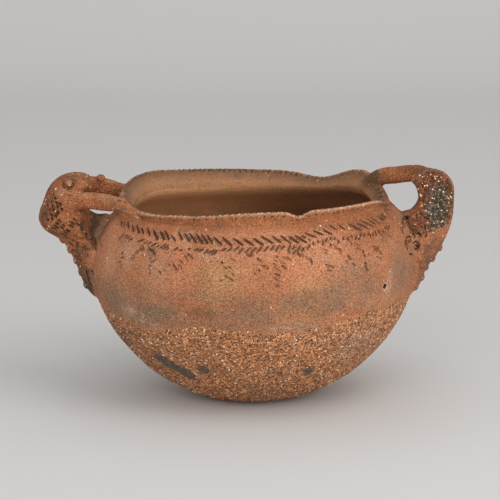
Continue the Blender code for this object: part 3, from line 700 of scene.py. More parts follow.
# The muzzle's holes, then the slashes under its chin: distance from the axis and height of each end
for across_side in (-1, 1):
    for out, height in (
        (-79.2, 78.1), (-77.8, 79.9), (-76.2, 79.9), (-78.6, 77.1), (-77.2, 77.1), (-75.7, 78.5),
        (-75.2, 76.8), (-78.7, 75.8), (-76.9, 75.4), (-74.8, 75.3), (-79.9, 74.3), (-77.9, 74.2),
        (-76.3, 74), (-79.5, 72.2), (-77.2, 72.2), (-78.7, 70.2), (-76.9, 70.7), (-73.7, 76.3),
        (-73.1, 74.4), (-74.7, 73.1), (-75.4, 71.9),
    ):
        point = on_side(out, height, across_side)[0]
        if point is not None:
            cut_line(point, point + Vector((0.3, 0, -1.0)) * MM, 1.25, chance.uniform(0.9, 1.2), 1.0, 0.5)
    for first, top, last, bottom in (
        (-76.6, 66.7, -75.1, 65.6), (-75.9, 67.7, -74.4, 66.6), (-75.2, 68.8, -74.2, 68.1),
        (-74.5, 70, -73.2, 69), (-72.2, 65.1, -70.9, 64.1), (-72.5, 63.9, -71.2, 63.2),
        (-72.5, 62.9, -71.5, 62.1), (-71.3, 66.1, -69.8, 65.2), (-70, 69.3, -68.3, 68.2),
        (-70.1, 67.9, -68.6, 67.1), (-73.2, 64.4, -72.4, 63.5), (-70.7, 60.8, -70.1, 60.1),
        (-69.7, 60.2, -68.9, 59.4), (-73.5, 67.3, -72.4, 66.5), (-73.1, 68.4, -71.9, 67.5),
        (-68.6, 70.3, -67.3, 69.5), (-67.4, 68.5, -66.3, 67.8), (-69.2, 61.9, -68.7, 61.4),
    ):
        start, end = on_side(first, top, across_side)[0], on_side(last, bottom, across_side)[0]
        if start is not None and end is not None:
            cut_line(start, end, 0.9, chance.uniform(0.5, 0.7), 1.0, 0.5)
# Reed rings, pellets' edges, finger grooves and cracks of the near side: width, depth, dirt and painted
# shade, and points
for width, depth, dirt_and_shade, points in (
    (1.1, 0.7, 1, ((-63.5, -9.3, 64), (-63.8, -10.3, 63.4), (-63.2, -10.4, 62.6))),
    (0.6, 0.35, 0.6, ((-63.2, -10.4, 62.6), (-61.9, -9.9, 61.8), (-60.6, -8.6, 62.4))),
    (1.1, 0.8, 1, ((-67.2, -11.1, 61.1), (-66.9, -11, 59.5))),
    (0.6, 0.35, 0.6, ((-66.2, -11.9, 62.5), (-64.5, -12.5, 63.1))),
    (0.6, 0.35, 0.6, ((-65.7, -11.5, 59.3), (-63.6, -12.5, 59.1))),
    (0.75, 0.5, 0.9, (
        (-69.7, -7.4, 57.1), (-68.5, -9.4, 58), (-66.7, -10.8, 56.5), (-66.6, -11.2, 55.5),
        (-68.2, -8.7, 55.4), (-69.6, -7.1, 56.3),
    )),
    (0.8, 0.5, 0.9, ((-67.2, -9.7, 54.6), (-66, -11.7, 54.6), (-65.5, -11.1, 53.3))),
    (0.9, 0.5, 0.75, (
        (-60.3, -9.5, 63), (-60.1, -11.9, 60.2), (-59.9, -16.2, 55.9), (-59.3, -20.3, 51.3),
        (-58.5, -20.9, 46.4), (-57.9, -19, 41.3),
    )),
    (1.1, 0.8, 1, ((-61.6, -12.7, 50.2), (-60.5, -15.9, 49.6), (-60, -17, 48.2))),
    (0.9, 0.7, 0.9, ((-63.7, -11.9, 50.5), (-63.4, -11.6, 48.1), (-62.6, -11.2, 45.8), (-61.6, -10.8, 44))),
    (1.1, 0.8, 1, ((-58.5, -22.2, 50), (-58, -22.9, 48.3))),
    (1, 0.8, 1, ((-59.5, -17.6, 45.4), (-59, -18.6, 44), (-58.7, -17.9, 42.6))),
    (0.7, 0.4, 0.8, ((-49.9, -29.5, 66.5), (-50.7, -29.6, 65.1))),
    (0.6, 0.4, 0.7, ((-70.4, -11.1, 79.4), (-70, -11.2, 78.8), (-69.2, -11, 79.3))),
    (0.6, 0.3, 0.7, ((-57.7, -16.4, 61.7), (-57.2, -18.6, 61))),
    (1.5, 1, 1, ((59, -5.8, 70.4), (59.3, -6.3, 69.4))),
    (0.7, 0.35, 0.6, ((59.4, -6.5, 68.5), (60.1, -9.3, 66.7), (61.3, -11.3, 65.2), (61.8, -11.6, 62.8))),
    (0.9, 0.6, 0.9, ((65.5, -8.1, 67.6), (65.9, -10.4, 66.1), (66.2, -11.3, 64.3), (65.9, -11.1, 63))),
    (1.1, 0.8, 1, ((62.7, -11.6, 64.9), (64.1, -11.6, 63.5))),
    (1, 0.6, 1, ((62.9, -6.6, 68.9), (63.1, -6.7, 68.7))),
    (0.7, 0.45, 0.8, ((60.3, -11.6, 63.6), (57.9, -19.3, 64.4), (57, -23.7, 62.7), (57.3, -24, 61.6))),
    (1.3, 1, 1, ((59.7, -18.1, 60), (60.1, -17.5, 58.2))),
    (1.3, 1, 1, ((62.1, -11.4, 60.2), (63.1, -11.4, 59.1))),
    (0.7, 0.5, 0.9, ((58.7, -21.7, 58.5), (60.7, -16.2, 57.3))),
    (0.7, 0.5, 0.8, ((61, -16.7, 52.9), (61.5, -12, 49.2))),
    (0.8, 0.5, 0.9, ((65.1, -5, 76.6), (65.4, -5.1, 75.7))),
    (0.7, 0.45, 0.7, ((63.8, -5.4, 72), (65, -5.9, 70.9), (66, -6.5, 69.3))),
    (0.9, 0.6, 1, ((-51.2, -16.2, 77.9), (-50.1, -17.3, 77.3))),
    (0.8, 0.6, 1, ((-48.9, -18.5, 76.4), (-47.3, -19.5, 76))),
    (0.8, 0.6, 1, ((-46.5, -20, 75.6), (-44.1, -24.1, 75.1))),
    (1, 0.7, 0.9, ((-41.9, -29.7, 73.7), (-41.2, -30.6, 73.6))),
):
    points = [pot_tree.find_nearest(Vector(point) * MM)[0] for point in points]
    for start, end in zip(points, points[1:]):
        cut_line(start, end, width, depth, dirt_and_shade, 0.5)
samples.extend((hole_place + outward * step * MM, 0.55 * MM) for step in (-1, 0, 1))
# Rings: distance from the axis, height, near (-1) or far (1) side, radius, width and depth. The first two
# are the gap round each of the left head's eyes, the others were pressed into the right keel with a reed.
for out, height, across_side, radius, width, depth in (
    (-70.4, 83.9, -1, 2.05, 1.5, 1.2), (-70.4, 83.9, 1, 2.05, 1.5, 1.2),
    (62.0, 59.8, -1, 1.4, 0.85, 0.6), (58.2, 61.5, -1, 1.05, 0.75, 0.5),
):
    middle, facing = on_side(out, height, across_side)
    turn = facing.to_track_quat("Z", "X")
    turns = [math.tau * step / 16 for step in range(17)]
    spokes = [Vector((math.cos(one), math.sin(one), 0)) for one in turns]
    points = [middle + turn @ spoke * radius * MM for spoke in spokes]
    for start, end in zip(points, points[1:]):
        cut_line(start, end, width, depth, 1.0, 0.5)


# The skin
# The clay is fine enough at each mark to hold it, the joins are wiped smooth, and the surface is
# uneven: hand-smoothed above the belly, worn down to the grit below it and on the scar.
SHORTEST_EDGE = 0.5 * MM


def tree_of(points):
    """A tree that finds the points near a place."""
    made = KDTree(len(points))
    for index, point in enumerate(points):
        made.insert(point, index)
    made.balance()
    return made


mark_tree = tree_of([sample for sample, _ in samples])


def longest_edge(point):
    """How long an edge may be there: short at the marks, the lip and the grit, long inside and behind."""
    radius = point.xy.length
    skin = outer_radius(min(point.z, NECK_HEIGHT))
    if radius < skin - 0.45 * WALL and point.z < RIM_HEIGHT - 5 * MM:
        return 4.5 * MM
    if point.z < 0.5 * MM:
        return 8.0 * MM
    _, index, gap = mark_tree.find(point)
    if gap < 0.7 * MM:
        return samples[index][1]
    if radius > skin + 1.5 * MM:
        return 1.25 * MM
    if point.z > RIM_HEIGHT - 4 * MM:
        return 1.2 * MM
    if point.z < 0.75 * BELLY_HEIGHT:
        return 1.27 * MM if point.y < 0 else 2.0 * MM
    return 1.5 * MM if point.y < 0 else 2.2 * MM


def refine(mesh, rounds):
    """Halves every edge that is too long for its place."""
    for _ in range(rounds):
        long = []
        for edge in mesh.edges:
            length = edge.calc_length()
            if length > SHORTEST_EDGE and length > longest_edge((edge.verts[0].co + edge.verts[1].co) / 2):
                long.append(edge)
        if not long:
            break
        bmesh.ops.subdivide_edges(mesh, edges=long, cuts=1)
        bmesh.ops.triangulate(mesh, faces=[face for face in mesh.faces if len(face.verts) > 3])


def wipe(verts, factor, rounds):
    """Smooths some of the clay, as a wet thumb does."""
    for _ in range(rounds):
        bmesh.ops.smooth_vert(
            pot_mesh, verts=verts, factor=factor, use_axis_x=True, use_axis_y=True, use_axis_z=True,
        )


bmesh.ops.dissolve_degenerate(pot_mesh, dist=0.02 * MM, edges=pot_mesh.edges)
bmesh.ops.triangulate(pot_mesh, faces=pot_mesh.faces)
refine(pot_mesh, rounds=6)
joins = []
for vert in pot_mesh.verts:
    if abs(vert.co.y) < 26 * MM and abs(vert.co.x) > 38 * MM:
        near = sorted(tree.find_nearest(vert.co)[3] for tree in (wall_tree, *clay_trees))
        if near[1] < 1.3 * MM:
            joins.append(vert)
wipe(joins, 0.5, rounds=8)
strap_end = [
    vert for vert in pot_mesh.verts
    if -54 * MM < vert.co.x < -40 * MM and -29 * MM < vert.co.y < 14 * MM and vert.co.z > 70 * MM
]
wipe(strap_end, 0.5, rounds=10)
wipe(pot_mesh.verts, 0.3, rounds=1)
pot_mesh.normal_update()

places = np.array([vert.co[:] for vert in pot_mesh.verts])
facings = np.array([vert.normal[:] for vert in pot_mesh.verts])
vert_tree = tree_of(places)
cut = np.zeros(len(places))
burr = np.zeros(len(places))
# How far each vertex lies to either side of its nearest mark, in half widths, and how dark that mark is
# painted with dirt and painted shade
FAR_OFF = 9.0
beside = np.full(len(places), FAR_OFF)
mark_share = np.zeros(len(places))
for start, end, width, depth, dirt_and_shade in lines:
    reach = (end - start).length / 2 + 1.6 * width
    near = np.array([index for _, index, _ in vert_tree.find_range((start + end) / 2, reach)], dtype=int)
    if not len(near):
        continue
    away = places[near] - np.array(start)
    line = np.array(end - start)
    length = max(line @ line, 1e-12)
    far_along = away @ line / length
    along = np.clip(far_along, 0, 1)
    beyond = np.abs(far_along - along) * math.sqrt(length) / width
    taper = 1 - 0.5 * np.abs(2 * along - 1) ** 3
    gap = np.linalg.norm(away - along[:, None] * line, axis=1) / (width / 2 * taper)
    bite = depth * taper * np.clip(1 - gap**2, 0, 1)
    cut[near] = np.maximum(cut[near], bite)
    burr[near] = np.maximum(burr[near], 0.14 * depth * np.exp(-(((gap - 1.5) / 0.4) ** 2)))
    side = np.where(np.einsum("ij,ij->i", np.cross(line, away), facings[near]) > 0, 1, -1)
    share = dirt_and_shade * (1 - smooth_step(gap, 1.4, 2.2)) * (1 - smooth_step(beyond, 0.1, 0.6))
    nearer = (gap < np.abs(beside[near])) & (share > 0)
    beside[near[nearer]] = (side * gap)[nearer]
    mark_share[near[nearer]] = share[nearer]

# How much of each vertex belongs to a lug, to the inner face and to the inside under the ridge
radii = np.hypot(places[:, 0], places[:, 1])
angles = np.degrees(np.arctan2(places[:, 1], places[:, 0]))
skins = np.array([outer_radius(min(height, NECK_HEIGHT)) for height in places[:, 2]])
lug_share = smooth_step(radii, skins + 0.8 * MM, skins + 2.5 * MM)
inner_share = smooth_step(skins - radii, 0.5 * WALL, 0.8 * WALL)
inside_share = inner_share * (1 - smooth_step(places[:, 2], RIDGE_HEIGHT - 1 * MM, RIDGE_HEIGHT + 3 * MM))


def noises(size, seed, octaves=1):
    """Smooth noise at each vertex, with bumps of about that size."""
    shift = Vector((seed * 3.1, seed * 1.7, seed * 2.3))
    if octaves == 1:
        return np.array([noise.noise(Vector(place) / size + shift) for place in places])
    return np.array([noise.fractal(Vector(place) / size + shift, 1.0, 2.0, octaves) for place in places])


hand = noises(13 * MM, 1)
thumb = noises(5 * MM, 2)
grain = noises(1.7 * MM, 3, 3)
# Angle, and the height in millimetres under which the smoothed skin has worn off there
WEAR_EDGE = (
    (-180, 38), (-156, 36.9), (-141, 35.9), (-129, 33.9), (-118, 36.3), (-107, 38.9), (-100, 36.9),
    (-93, 36.3), (-80, 36.1), (-72, 36.4), (-64, 37.4), (-57, 38.8), (-46, 41.2), (-31, 41.3), (-15, 41.4),
    (0, 40), (40, 37), (80, 39), (120, 36), (150, 39), (180, 38),
)
edge_of_wear = MM * np.interp(angles, *zip(*WEAR_EDGE))
for size, seed, uneven in ((3 * MM, 4, 0.9 * MM), (1.2 * MM, 5, 0.6 * MM)):
    edge_of_wear += uneven * noises(size, seed)
wear_share = 1 - smooth_step(places[:, 2], edge_of_wear - 1.2 * MM, edge_of_wear + 1.0 * MM)
wear_share *= 1 - inside_share
scar_tree = BVHTree.FromBMesh(scar_mesh)
scar_share = np.zeros(len(places))
for index in np.nonzero((places[:, 0] > 55 * MM) & (places[:, 1] < 4 * MM))[0]:
    gap = scar_tree.find_nearest(Vector(places[index]))[3]
    scar_share[index] = 1 - smooth_step(gap, 0.3 * MM, 0.9 * MM)
smooth_share = (1 - wear_share) * (1 - scar_share) * (1 - lug_share)
coarse = 0.16 * wear_share + 0.30 * scar_share + 0.10 * lug_share + 0.035 * smooth_share * (1 - inside_share)
relief = 0.28 * MM * hand * (1 - 0.6 * scar_share) + 0.10 * MM * thumb
relief += grain * MM * coarse
relief += burr - cut
before = places.copy()
places += facings * relief[:, None]
places = np.clip(places, np.array(cad_low), np.array(cad_high))
for vert, place in zip(pot_mesh.verts, places):
    vert.co = place
old = pot.data
pot.data = bpy.data.meshes.new("pot")
pot_mesh.to_mesh(pot.data)
bpy.data.meshes.remove(old)
pot.data.shade_smooth()


def keep(name, values):
    """Stores a number for each vertex, for the clay's colours."""
    pot.data.attributes.new(name, "FLOAT", "POINT").data.foreach_set("value", values.astype(np.float32))


def round_from(degrees):
    """How far round the pot each vertex lies from an angle, in radians."""
    return np.radians((angles - degrees + 180) % 360 - 180)


def waves(heights):
    """The height of a hand-made line over or under each vertex."""
    return np.array([wave(heights, math.radians(angle)) for angle in angles])


keep("beside", np.clip(beside, -FAR_OFF, FAR_OFF))
keep("mark", mark_share)
hollow = np.linalg.norm(np.cross(places - np.array(hole_place), np.array(outward)), axis=1)
keep("hole", np.where(before[:, 1] < 0, hollow / MM, FAR_OFF).clip(0, FAR_OFF))
lip_tops = RIM_HEIGHT + waves(LIP_WAVE)
for degrees, half_width, depth in LIP_CHIPS:
    lip_tops -= depth * np.exp(-((round_from(degrees) * RIM_RADIUS / half_width) ** 2))
on_lip = (radii > RIM_RADIUS - 1.15 * LIP_THICKNESS) & (radii < RIM_RADIUS + 1 * MM)
crest = on_lip * (1 - lug_share) * (1 - 0.75 * smooth_step(before[:, 1], -20 * MM, 10 * MM))
crest *= 1 - smooth_step(-before[:, 0], 40 * MM, 44 * MM) * smooth_step(before[:, 1], -32 * MM, -26 * MM)
crest *= 1 - smooth_step(before[:, 0], 46 * MM, 49 * MM)
keep("crest", crest)
keep("below_lip", np.clip((lip_tops - before[:, 2]) / MM, -1, 9))
collar_share = (radii < RIM_RADIUS - 0.5 * LIP_THICKNESS) & (places[:, 2] > RIDGE_HEIGHT - 8 * MM)
keep("collar", collar_share)
ridge_share = (RIDGE_HEIGHT - BAND_TOP) / (RIM_HEIGHT - BAND_TOP)
ridges = waves(BAND_WAVE) * (1 - ridge_share) + waves(LIP_WAVE) * ridge_share
keep("above_ridge", np.clip((before[:, 2] - RIDGE_HEIGHT - ridges) / MM, -5, 5))
# Painted light: the neck's browner band fades towards the right, lighter by the right lug where the strap
# casts shade
right_neck_painted_light = smooth_step(places[:, 0], 34 * MM, 48 * MM)
neck = smooth_step(places[:, 2] - lip_tops, -7.5 * MM, -4.5 * MM) * (1 - 0.6 * right_neck_painted_light)
keep("neck", neck * (1 - collar_share) * (1 - lug_share))
# Painted shade: the inside is painted darker towards the right
keep("inner_painted_shade", smooth_step(places[:, 0] + 0.3 * places[:, 1], -20 * MM, 46 * MM))
# How far the skin bends outwards (above 0) or inwards at each vertex
ends = np.array([[vert.index for vert in edge.verts] for edge in pot_mesh.edges])
step = places[ends[:, 1]] - places[ends[:, 0]]
step_length = np.linalg.norm(step, axis=1) + 1e-9
turned = np.array([vert.normal[:] for vert in pot.data.vertices])
bend = np.zeros(len(places))
tally = np.bincount(ends.ravel(), minlength=len(places))
for one, sign in ((0, 1), (1, -1)):
    rise = np.einsum("ij,ij->i", turned[ends[:, one]], step) * sign / step_length
    bend -= np.bincount(ends[:, one], weights=rise, minlength=len(places))
bend /= tally
spread = sum(
    np.bincount(ends[:, one], weights=bend[ends[:, 1 - one]], minlength=len(places)) for one in (0, 1)
)
keep("bend", 0.5 * bend + 0.5 * spread / tally)
keep("inside", inner_share)
worn_depth = np.clip((edge_of_wear - places[:, 2]) / MM, -5, 5)
keep("wear", worn_depth * (1 - inside_share) - 5 * inside_share)
keep("scar", scar_share)
# Painted light: the right lug's root takes the lighter skin colour, against the strap's shade there
right_root_painted_light = smooth_step(places[:, 0], 48 * MM, 54 * MM) * (1 - smooth_step(places[:, 2], 66 * MM, 76 * MM))
keep("lug", lug_share * (1 - 0.6 * right_root_painted_light))
ragged = noises(3 * MM, 6, 3)


def spots(marks, away_from, uneven, full, gone):
    """How far each vertex lies within spots: place, height, half sizes in millimetres and strength."""
    share = np.zeros(len(places))
    for place, height, half_width, half_height, strength in marks:
        across = away_from(place) / (half_width * MM)
        up = (places[:, 2] - height * MM) / (half_height * MM)
        reach = np.hypot(across, up) + uneven * ragged
        share = np.maximum(share, strength * (1 - smooth_step(reach, full, gone)))
    return share


def lug_spots(marks, uneven):
    """Spots whose places are distances from the axis towards the right lug."""
    return spots(marks, lambda out: places[:, 0] - out * MM, uneven, 0.5, 1.2)


# Old dirt on the lugs, with painted shade in the hollows where the left head meets the wall, and the grey
# unburnt core of the broken cheek
GRIME_AND_SHADE = (
    (-66, 86.8, 8.5, 3.0, 0.75), (-61, 87.5, 5, 3.0, 0.85), (-79.5, 76, 3.5, 11, 0.85),
    (-59.5, 66.5, 5.5, 6.5, 1.5), (-65.5, 52, 4.0, 13, 0.7), (-61, 45, 5, 7.5, 1.4), (-76, 66, 5, 3.5, 0.4),
    (-53, 79.5, 5, 5, 0.15), (69, 58, 4.5, 6, 0.7), (68, 89, 12, 4.0, 0.75), (76.5, 76, 2.5, 12, 0.5),
    (62, 84, 6, 3, 0.5), (66, 47, 3, 14, 0.5), (57.5, 70, 1.2, 3, 0.7),
)
CORE = ((70.9, 74.0, 5.4, 10.2, 1.0),)
# What is painted pale, partly rubbed wear and partly painted highlight: the left strap's end along the lip,
# the head's brow and eye and the strap's edge
RUBBED_AND_LIT = (
    (-52.5, 75.7, 1.2, 0.8, 0.5), (-50.8, 75.5, 1.4, 0.7, 0.5), (-49, 75.1, 1.6, 0.6, 0.55),
    (-47, 74.6, 1.6, 0.6, 0.55), (-45, 74.1, 1.6, 0.6, 0.5), (-43, 73.6, 1.4, 0.6, 0.4),
    (-70.6, 83.6, 1.5, 1.4, 0.6), (-66, 79.5, 5, 1.6, 0.3), (-57, 80.6, 7, 0.8, 0.3),
    (-73, 80.5, 3, 2, 0.2), (-54, 79.5, 6, 2.5, 0.3),
)
# Painted shade on the rim by the right lug's stub, and a painted shadow over the lower left of the worn wall
stub_shade = smooth_step(places[:, 0], 46 * MM, 50 * MM) * smooth_step(places[:, 2], 74 * MM, 77 * MM)
grime_and_shade = lug_spots(GRIME_AND_SHADE, 0.5) * smooth_step(radii, skins + 0.2 * MM, skins + 1.5 * MM)
low_left_shadow = smooth_step(-places[:, 0], 26 * MM, 50 * MM) * (1 - smooth_step(places[:, 2], 26 * MM, 42 * MM))
grime_and_shade = np.maximum(grime_and_shade, np.maximum(0.7 * stub_shade * (1 - lug_share), 0.5 * low_left_shadow * wear_share))
keep("grime_and_shade", grime_and_shade)
keep("core", lug_spots(CORE, 0.35) * scar_share)
keep("rubbed_and_lit", lug_spots(RUBBED_AND_LIT, 0.3) * (before[:, 1] < 0))

# Stains of the firing and of the ground: angle, height, half width, half height in millimetres, strength
STAINS = {
    "soot": (
        (-128, 41, 18, 6, 1.0), (-146, 43, 15, 10, 0.95), (-134, 38, 12, 4, 0.8),
        (-106, 38.5, 11, 2.5, 0.6), (-62, 46, 10, 4, 0.8), (-50, 44, 8, 4, 0.5), (-58, 53, 9, 4, 0.35),
        (-96, 38.5, 12, 3, 0.6), (-91, 43.5, 13, 5, 0.75), (-91, 49, 12, 3.5, 0.55), (-76, 48, 12, 4, 0.7),
        (-62, 50, 11, 4, 0.7), (-47, 49.5, 9, 4.5, 0.7), (-108, 50, 8, 3, 0.5), (-126, 49, 9, 3, 0.4),
        (-63, 47, 12, 5, 0.6), (-53, 58, 9, 3.5, 0.6), (-29, 54, 9, 10, 0.75), (-19, 52, 5, 6, 0.5),
        # The soot at -172 and -168 degrees is painted shade where the left lug meets the wall
        (-172, 65, 5, 5, 0.8), (-168, 45, 4, 6, 0.6), (-122, 61.5, 5, 3, 0.3), (-146, 65, 3, 2.5, 0.7),
        (-128.5, 64, 3, 2.5, 0.8), (60, 55, 22, 9, 0.7), (120, 45, 26, 8, 0.8), (165, 56, 12, 10, 0.6),
        (-78, 38, 14, 3, 0.45), (20, 44, 16, 6, 0.6),
    ),
    "brown": (
        (-116, 46, 9, 4.5, 0.8), (-93, 46.5, 11, 3.5, 0.7), (-108, 55, 4, 5, 0.6), (-58, 54, 9, 5, 0.5),
        (-75, 45, 9, 4, 0.4), (-84, 56, 5, 6, 0.3), (-48, 54, 8, 5, 0.8), (-70, 49, 14, 4, 0.6),
        # The brown at -172 and -168 degrees is painted shade where the left lug meets the wall
        (-108, 43.5, 10, 4, 1.1), (-67, 44, 6, 4, 0.8), (-87, 40, 6, 3, 0.6), (-172, 65, 6.5, 6.5, 1.5),
        (-168, 46, 5, 7, 1.3), (-132, 49, 8, 4, 0.4), (100, 50, 14, 5, 0.6), (30, 58, 9, 6, 0.5),
    ),
    "ochre": (
        (-101, 56.4, 12, 7, 1.0), (-105, 50.5, 7, 5, 0.7), (-69.5, 54, 11, 4, 0.6), (-73, 41, 8, 4.5, 0.7),
        (-34, 47, 5, 9, 0.5), (90, 58, 16, 8, 0.7), (140, 60, 12, 7, 0.6), (40, 47, 12, 6, 0.6),
    ),
    "red": (
        (-110, 50, 8, 6, 0.8), (-114, 43, 6, 4, 0.7), (-88, 50, 10, 8, 0.6), (-52, 40.6, 8, 3, 0.9),
        (-116, 62, 7, 3.5, 0.7), (-82, 60, 9, 5, 0.5), (-42, 51, 7, 5, 0.6), (75, 48, 12, 6, 0.7),
        (108, 62, 10, 5, 0.6),
    ),
    "salt": (
        (-139, 40.5, 5, 2.2, 0.9), (-134, 37.4, 3.5, 1.2, 0.8), (-140, 61.5, 6, 4.5, 0.5),
        (-150, 55, 5, 5, 0.4), (-127, 58.5, 6, 3.5, 0.4), (-45, 27, 13, 8, 0.75),
        (-127.5, 36.5, 2.5, 1.6, 0.6), (-132, 39.4, 1.2, 2.2, 0.7), (-121.5, 70.5, 1.0, 2.2, 0.9),
        (-36.5, 50, 2.2, 6, 0.6), (-76, 38, 9, 2, 0.6), (-115.5, 69.5, 2, 3, 0.5), (-105, 64, 5, 2, 0.35),
        (-63.5, 63.8, 4, 1.2, 0.4), (30, 30, 14, 8, 0.6), (150, 30, 12, 7, 0.5),
    ),
    "smudge": (
        *((-134.4 + 0.95 * step, 21.5 - 0.41 * step, 2.6, 2.9, 1.0) for step in range(15)),
        (-113, 19, 2.0, 2.1, 1.0), (-111.4, 19, 2.0, 2.1, 1.0), (-80, 19, 3.2, 1.4, 0.4),
        (-64.7, 18.3, 2.2, 1.9, 1.0), (97, 77.8, 3.0, 1.3, 0.5), (95, 22, 3, 1.6, 0.9),
        (140, 17, 4, 1.5, 0.9),
    ),
}
for kind, marks in STAINS.items():
    crisp = 0.25 if kind == "smudge" else 0.9
    share = spots(marks, lambda degrees: round_from(degrees) * radii, 0.35, 1 - crisp, 1 + 0.5 * crisp)
    share *= (1 - inside_share) * (1 - lug_share)
    keep(kind, share)
    if kind == "smudge":
        smudged = share

clay = bpy.data.materials.new("fired_clay")
clay.use_nodes = True
tree = clay.node_tree
shader = tree.nodes["Principled BSDF"]


def add(kind, inputs, **settings):
    """A node with its inputs set to values or linked to other nodes' outputs."""
    made = tree.nodes.new("ShaderNode" + kind)
    for name, value in settings.items():
        setattr(made, name, value)
    for name, value in inputs.items():
        if isinstance(value, bpy.types.NodeSocket):
            tree.links.new(value, made.inputs[name])
        else:
            made.inputs[name].default_value = value
    return made


def mask(value, low, high, top=1.0):
    """0 under low, rising to top over high."""
    made = add("MapRange", {"Value": value, "From Min": low, "From Max": high, "To Max": top})
    made.interpolation_type = "SMOOTHSTEP"
    return made.outputs["Result"]


def calc(operation, first, second=0.0):
    """One step of arithmetic on values and outputs."""
    return add("Math", {0: first, 1: second}, operation=operation).outputs["Value"]


def ramp(value, low, high, first, last):
    """First at low, rising evenly to last at high."""
    inputs = {"Value": value, "From Min": low, "From Max": high, "To Min": first, "To Max": last}
    return add("MapRange", inputs).outputs["Result"]


def times(first, *others):
    """The product of values and outputs."""
    for other in others:
        first = calc("MULTIPLY", first, other)
    return first


def plus(first, *others):
    """The sum of values and outputs."""
    for other in others:
        first = calc("ADD", first, other)
    return first


def without(share):
    """What a share leaves of the whole."""
    return calc("SUBTRACT", 1.0, share)


def between(value, low, high, fall, end):
    """A band that rises from low to high and falls from fall to end."""
    return times(mask(value, low, high), without(mask(value, fall, end)))


def colours(share, first, second, kind="MIX"):
    """Two colours, each (red, green, blue) or another node's output, mixed by a share."""
    made = tree.nodes.new("ShaderNodeMix")
    made.data_type = "RGBA"
    made.blend_type = kind
    for name, value in (("Factor", share), ("A", first), ("B", second)):
        socket = next(one for one in made.inputs if one.name == name and one.enabled)
        if isinstance(value, bpy.types.NodeSocket):
            tree.links.new(value, socket)
        else:
            socket.default_value = (*value, 1.0) if isinstance(value, tuple) else value
    return next(one for one in made.outputs if one.enabled)


def layered(base, layers):
    """Lays colours over a base one after the other, each by its share."""
    for share, colour in layers:
        base = colours(share, base, colour)
    return base


def kept(name):
    """A number that the vertices keep."""
    return add("Attribute", {}, attribute_name=name).outputs["Fac"]


def clouds(scale, detail=3.0, roughness=0.55):
    """Soft noise from 0 to 1, with about that many clouds to the metre."""
    inputs = {"Vector": spot, "Scale": scale, "Detail": detail, "Roughness": roughness}
    return add("TexNoise", inputs).outputs["Fac"]


def stain(name, cloud, low, high, top=1.0):
    """A kept share that a cloud breaks up."""
    return times(kept(name), mask(cloud, low, high, top))


def crumbled(name, cloud, size):
    """Where a kept distance is above 0, with a crumbling edge."""
    return mask(plus(kept(name), times(plus(cloud, -0.5), size)), -0.3, 0.4)


def grains_of(scale, full):
    """Round grains of one scale: where they are, and the tones of each."""
    cells = add("TexVoronoi", {"Vector": spot, "Scale": scale})
    tones = add("SeparateColor", {"Color": cells.outputs["Color"]}).outputs
    return without(mask(cells.outputs["Distance"], full, 0.45)), tones


spot = add("TexCoord", {}).outputs["Object"]
wide, middling, fine = clouds(42), clouds(170, 4.0, 0.6), clouds(650, 3.0, 0.6)
speck, finest, hues = clouds(2000, 2.0, 0.7), clouds(2600, 2.0), clouds(1300, 3.0, 0.7)
over_ridge = crumbled("above_ridge", fine, 1.5)
collar = times(kept("collar"), over_ridge)
within = times(kept("inside"), without(over_ridge))
worn = crumbled("wear", clouds(420, 3.0, 0.6), 4.0)
bare = calc("MAXIMUM", worn, kept("scar"))
# The smoothed skin is orange to brown red, mottled at every size, with clouds of the firing, ochre and
# grey over it. The neck is browner, the collar inside the lip is tan, and the lugs are darker.
neck_colour = colours(mask(middling, 0.35, 0.65), (0.36, 0.125, 0.048), (0.26, 0.095, 0.036))
collar_colour = colours(mask(middling, 0.3, 0.7), (0.245, 0.122, 0.058), (0.285, 0.136, 0.064))
# Painted shade on the collar: darker towards the right, and darker up at the lip's crest than down at the
# ridge
collar_colour = colours(mask(kept("inner_painted_shade"), 0.45, 1.0, 0.25), collar_colour, (0.15, 0.070, 0.035))
collar_colour = colours(1.0, collar_colour, ramp(kept("below_lip"), 0.0, 4.5, 0.5, 1.3), "MULTIPLY")
lug_colour = colours(mask(middling, 0.38, 0.68), (0.335, 0.115, 0.042), (0.215, 0.072, 0.026))
skin_colour = layered((0.35, 0.130, 0.058), (
    (mask(wide, 0.35, 0.65), (0.47, 0.190, 0.092)),
    (mask(middling, 0.35, 0.7, 0.7), (0.38, 0.172, 0.089)),
    (mask(fine, 0.45, 0.72, 0.5), (0.24, 0.095, 0.045)),
    (stain("red", middling, 0.25, 0.6), (0.42, 0.130, 0.050)),
    (stain("ochre", middling, 0.2, 0.6, 0.85), (0.37, 0.20, 0.08)),
    (stain("brown", middling, 0.1, 0.55, 0.9), (0.235, 0.098, 0.044)),
    (stain("soot", middling, 0.1, 0.5, 0.92), (0.190, 0.122, 0.074)),
    (mask(hues, 0.52, 0.72, 0.42), (0.41, 0.225, 0.145)),
    (calc("SUBTRACT", 0.4, mask(hues, 0.28, 0.48, 0.4)), (0.38, 0.132, 0.042)),
    (times(kept("neck"), 0.8), neck_colour),
    (times(collar, 0.95), collar_colour),
    (times(kept("lug"), 0.85), lug_colour),
))
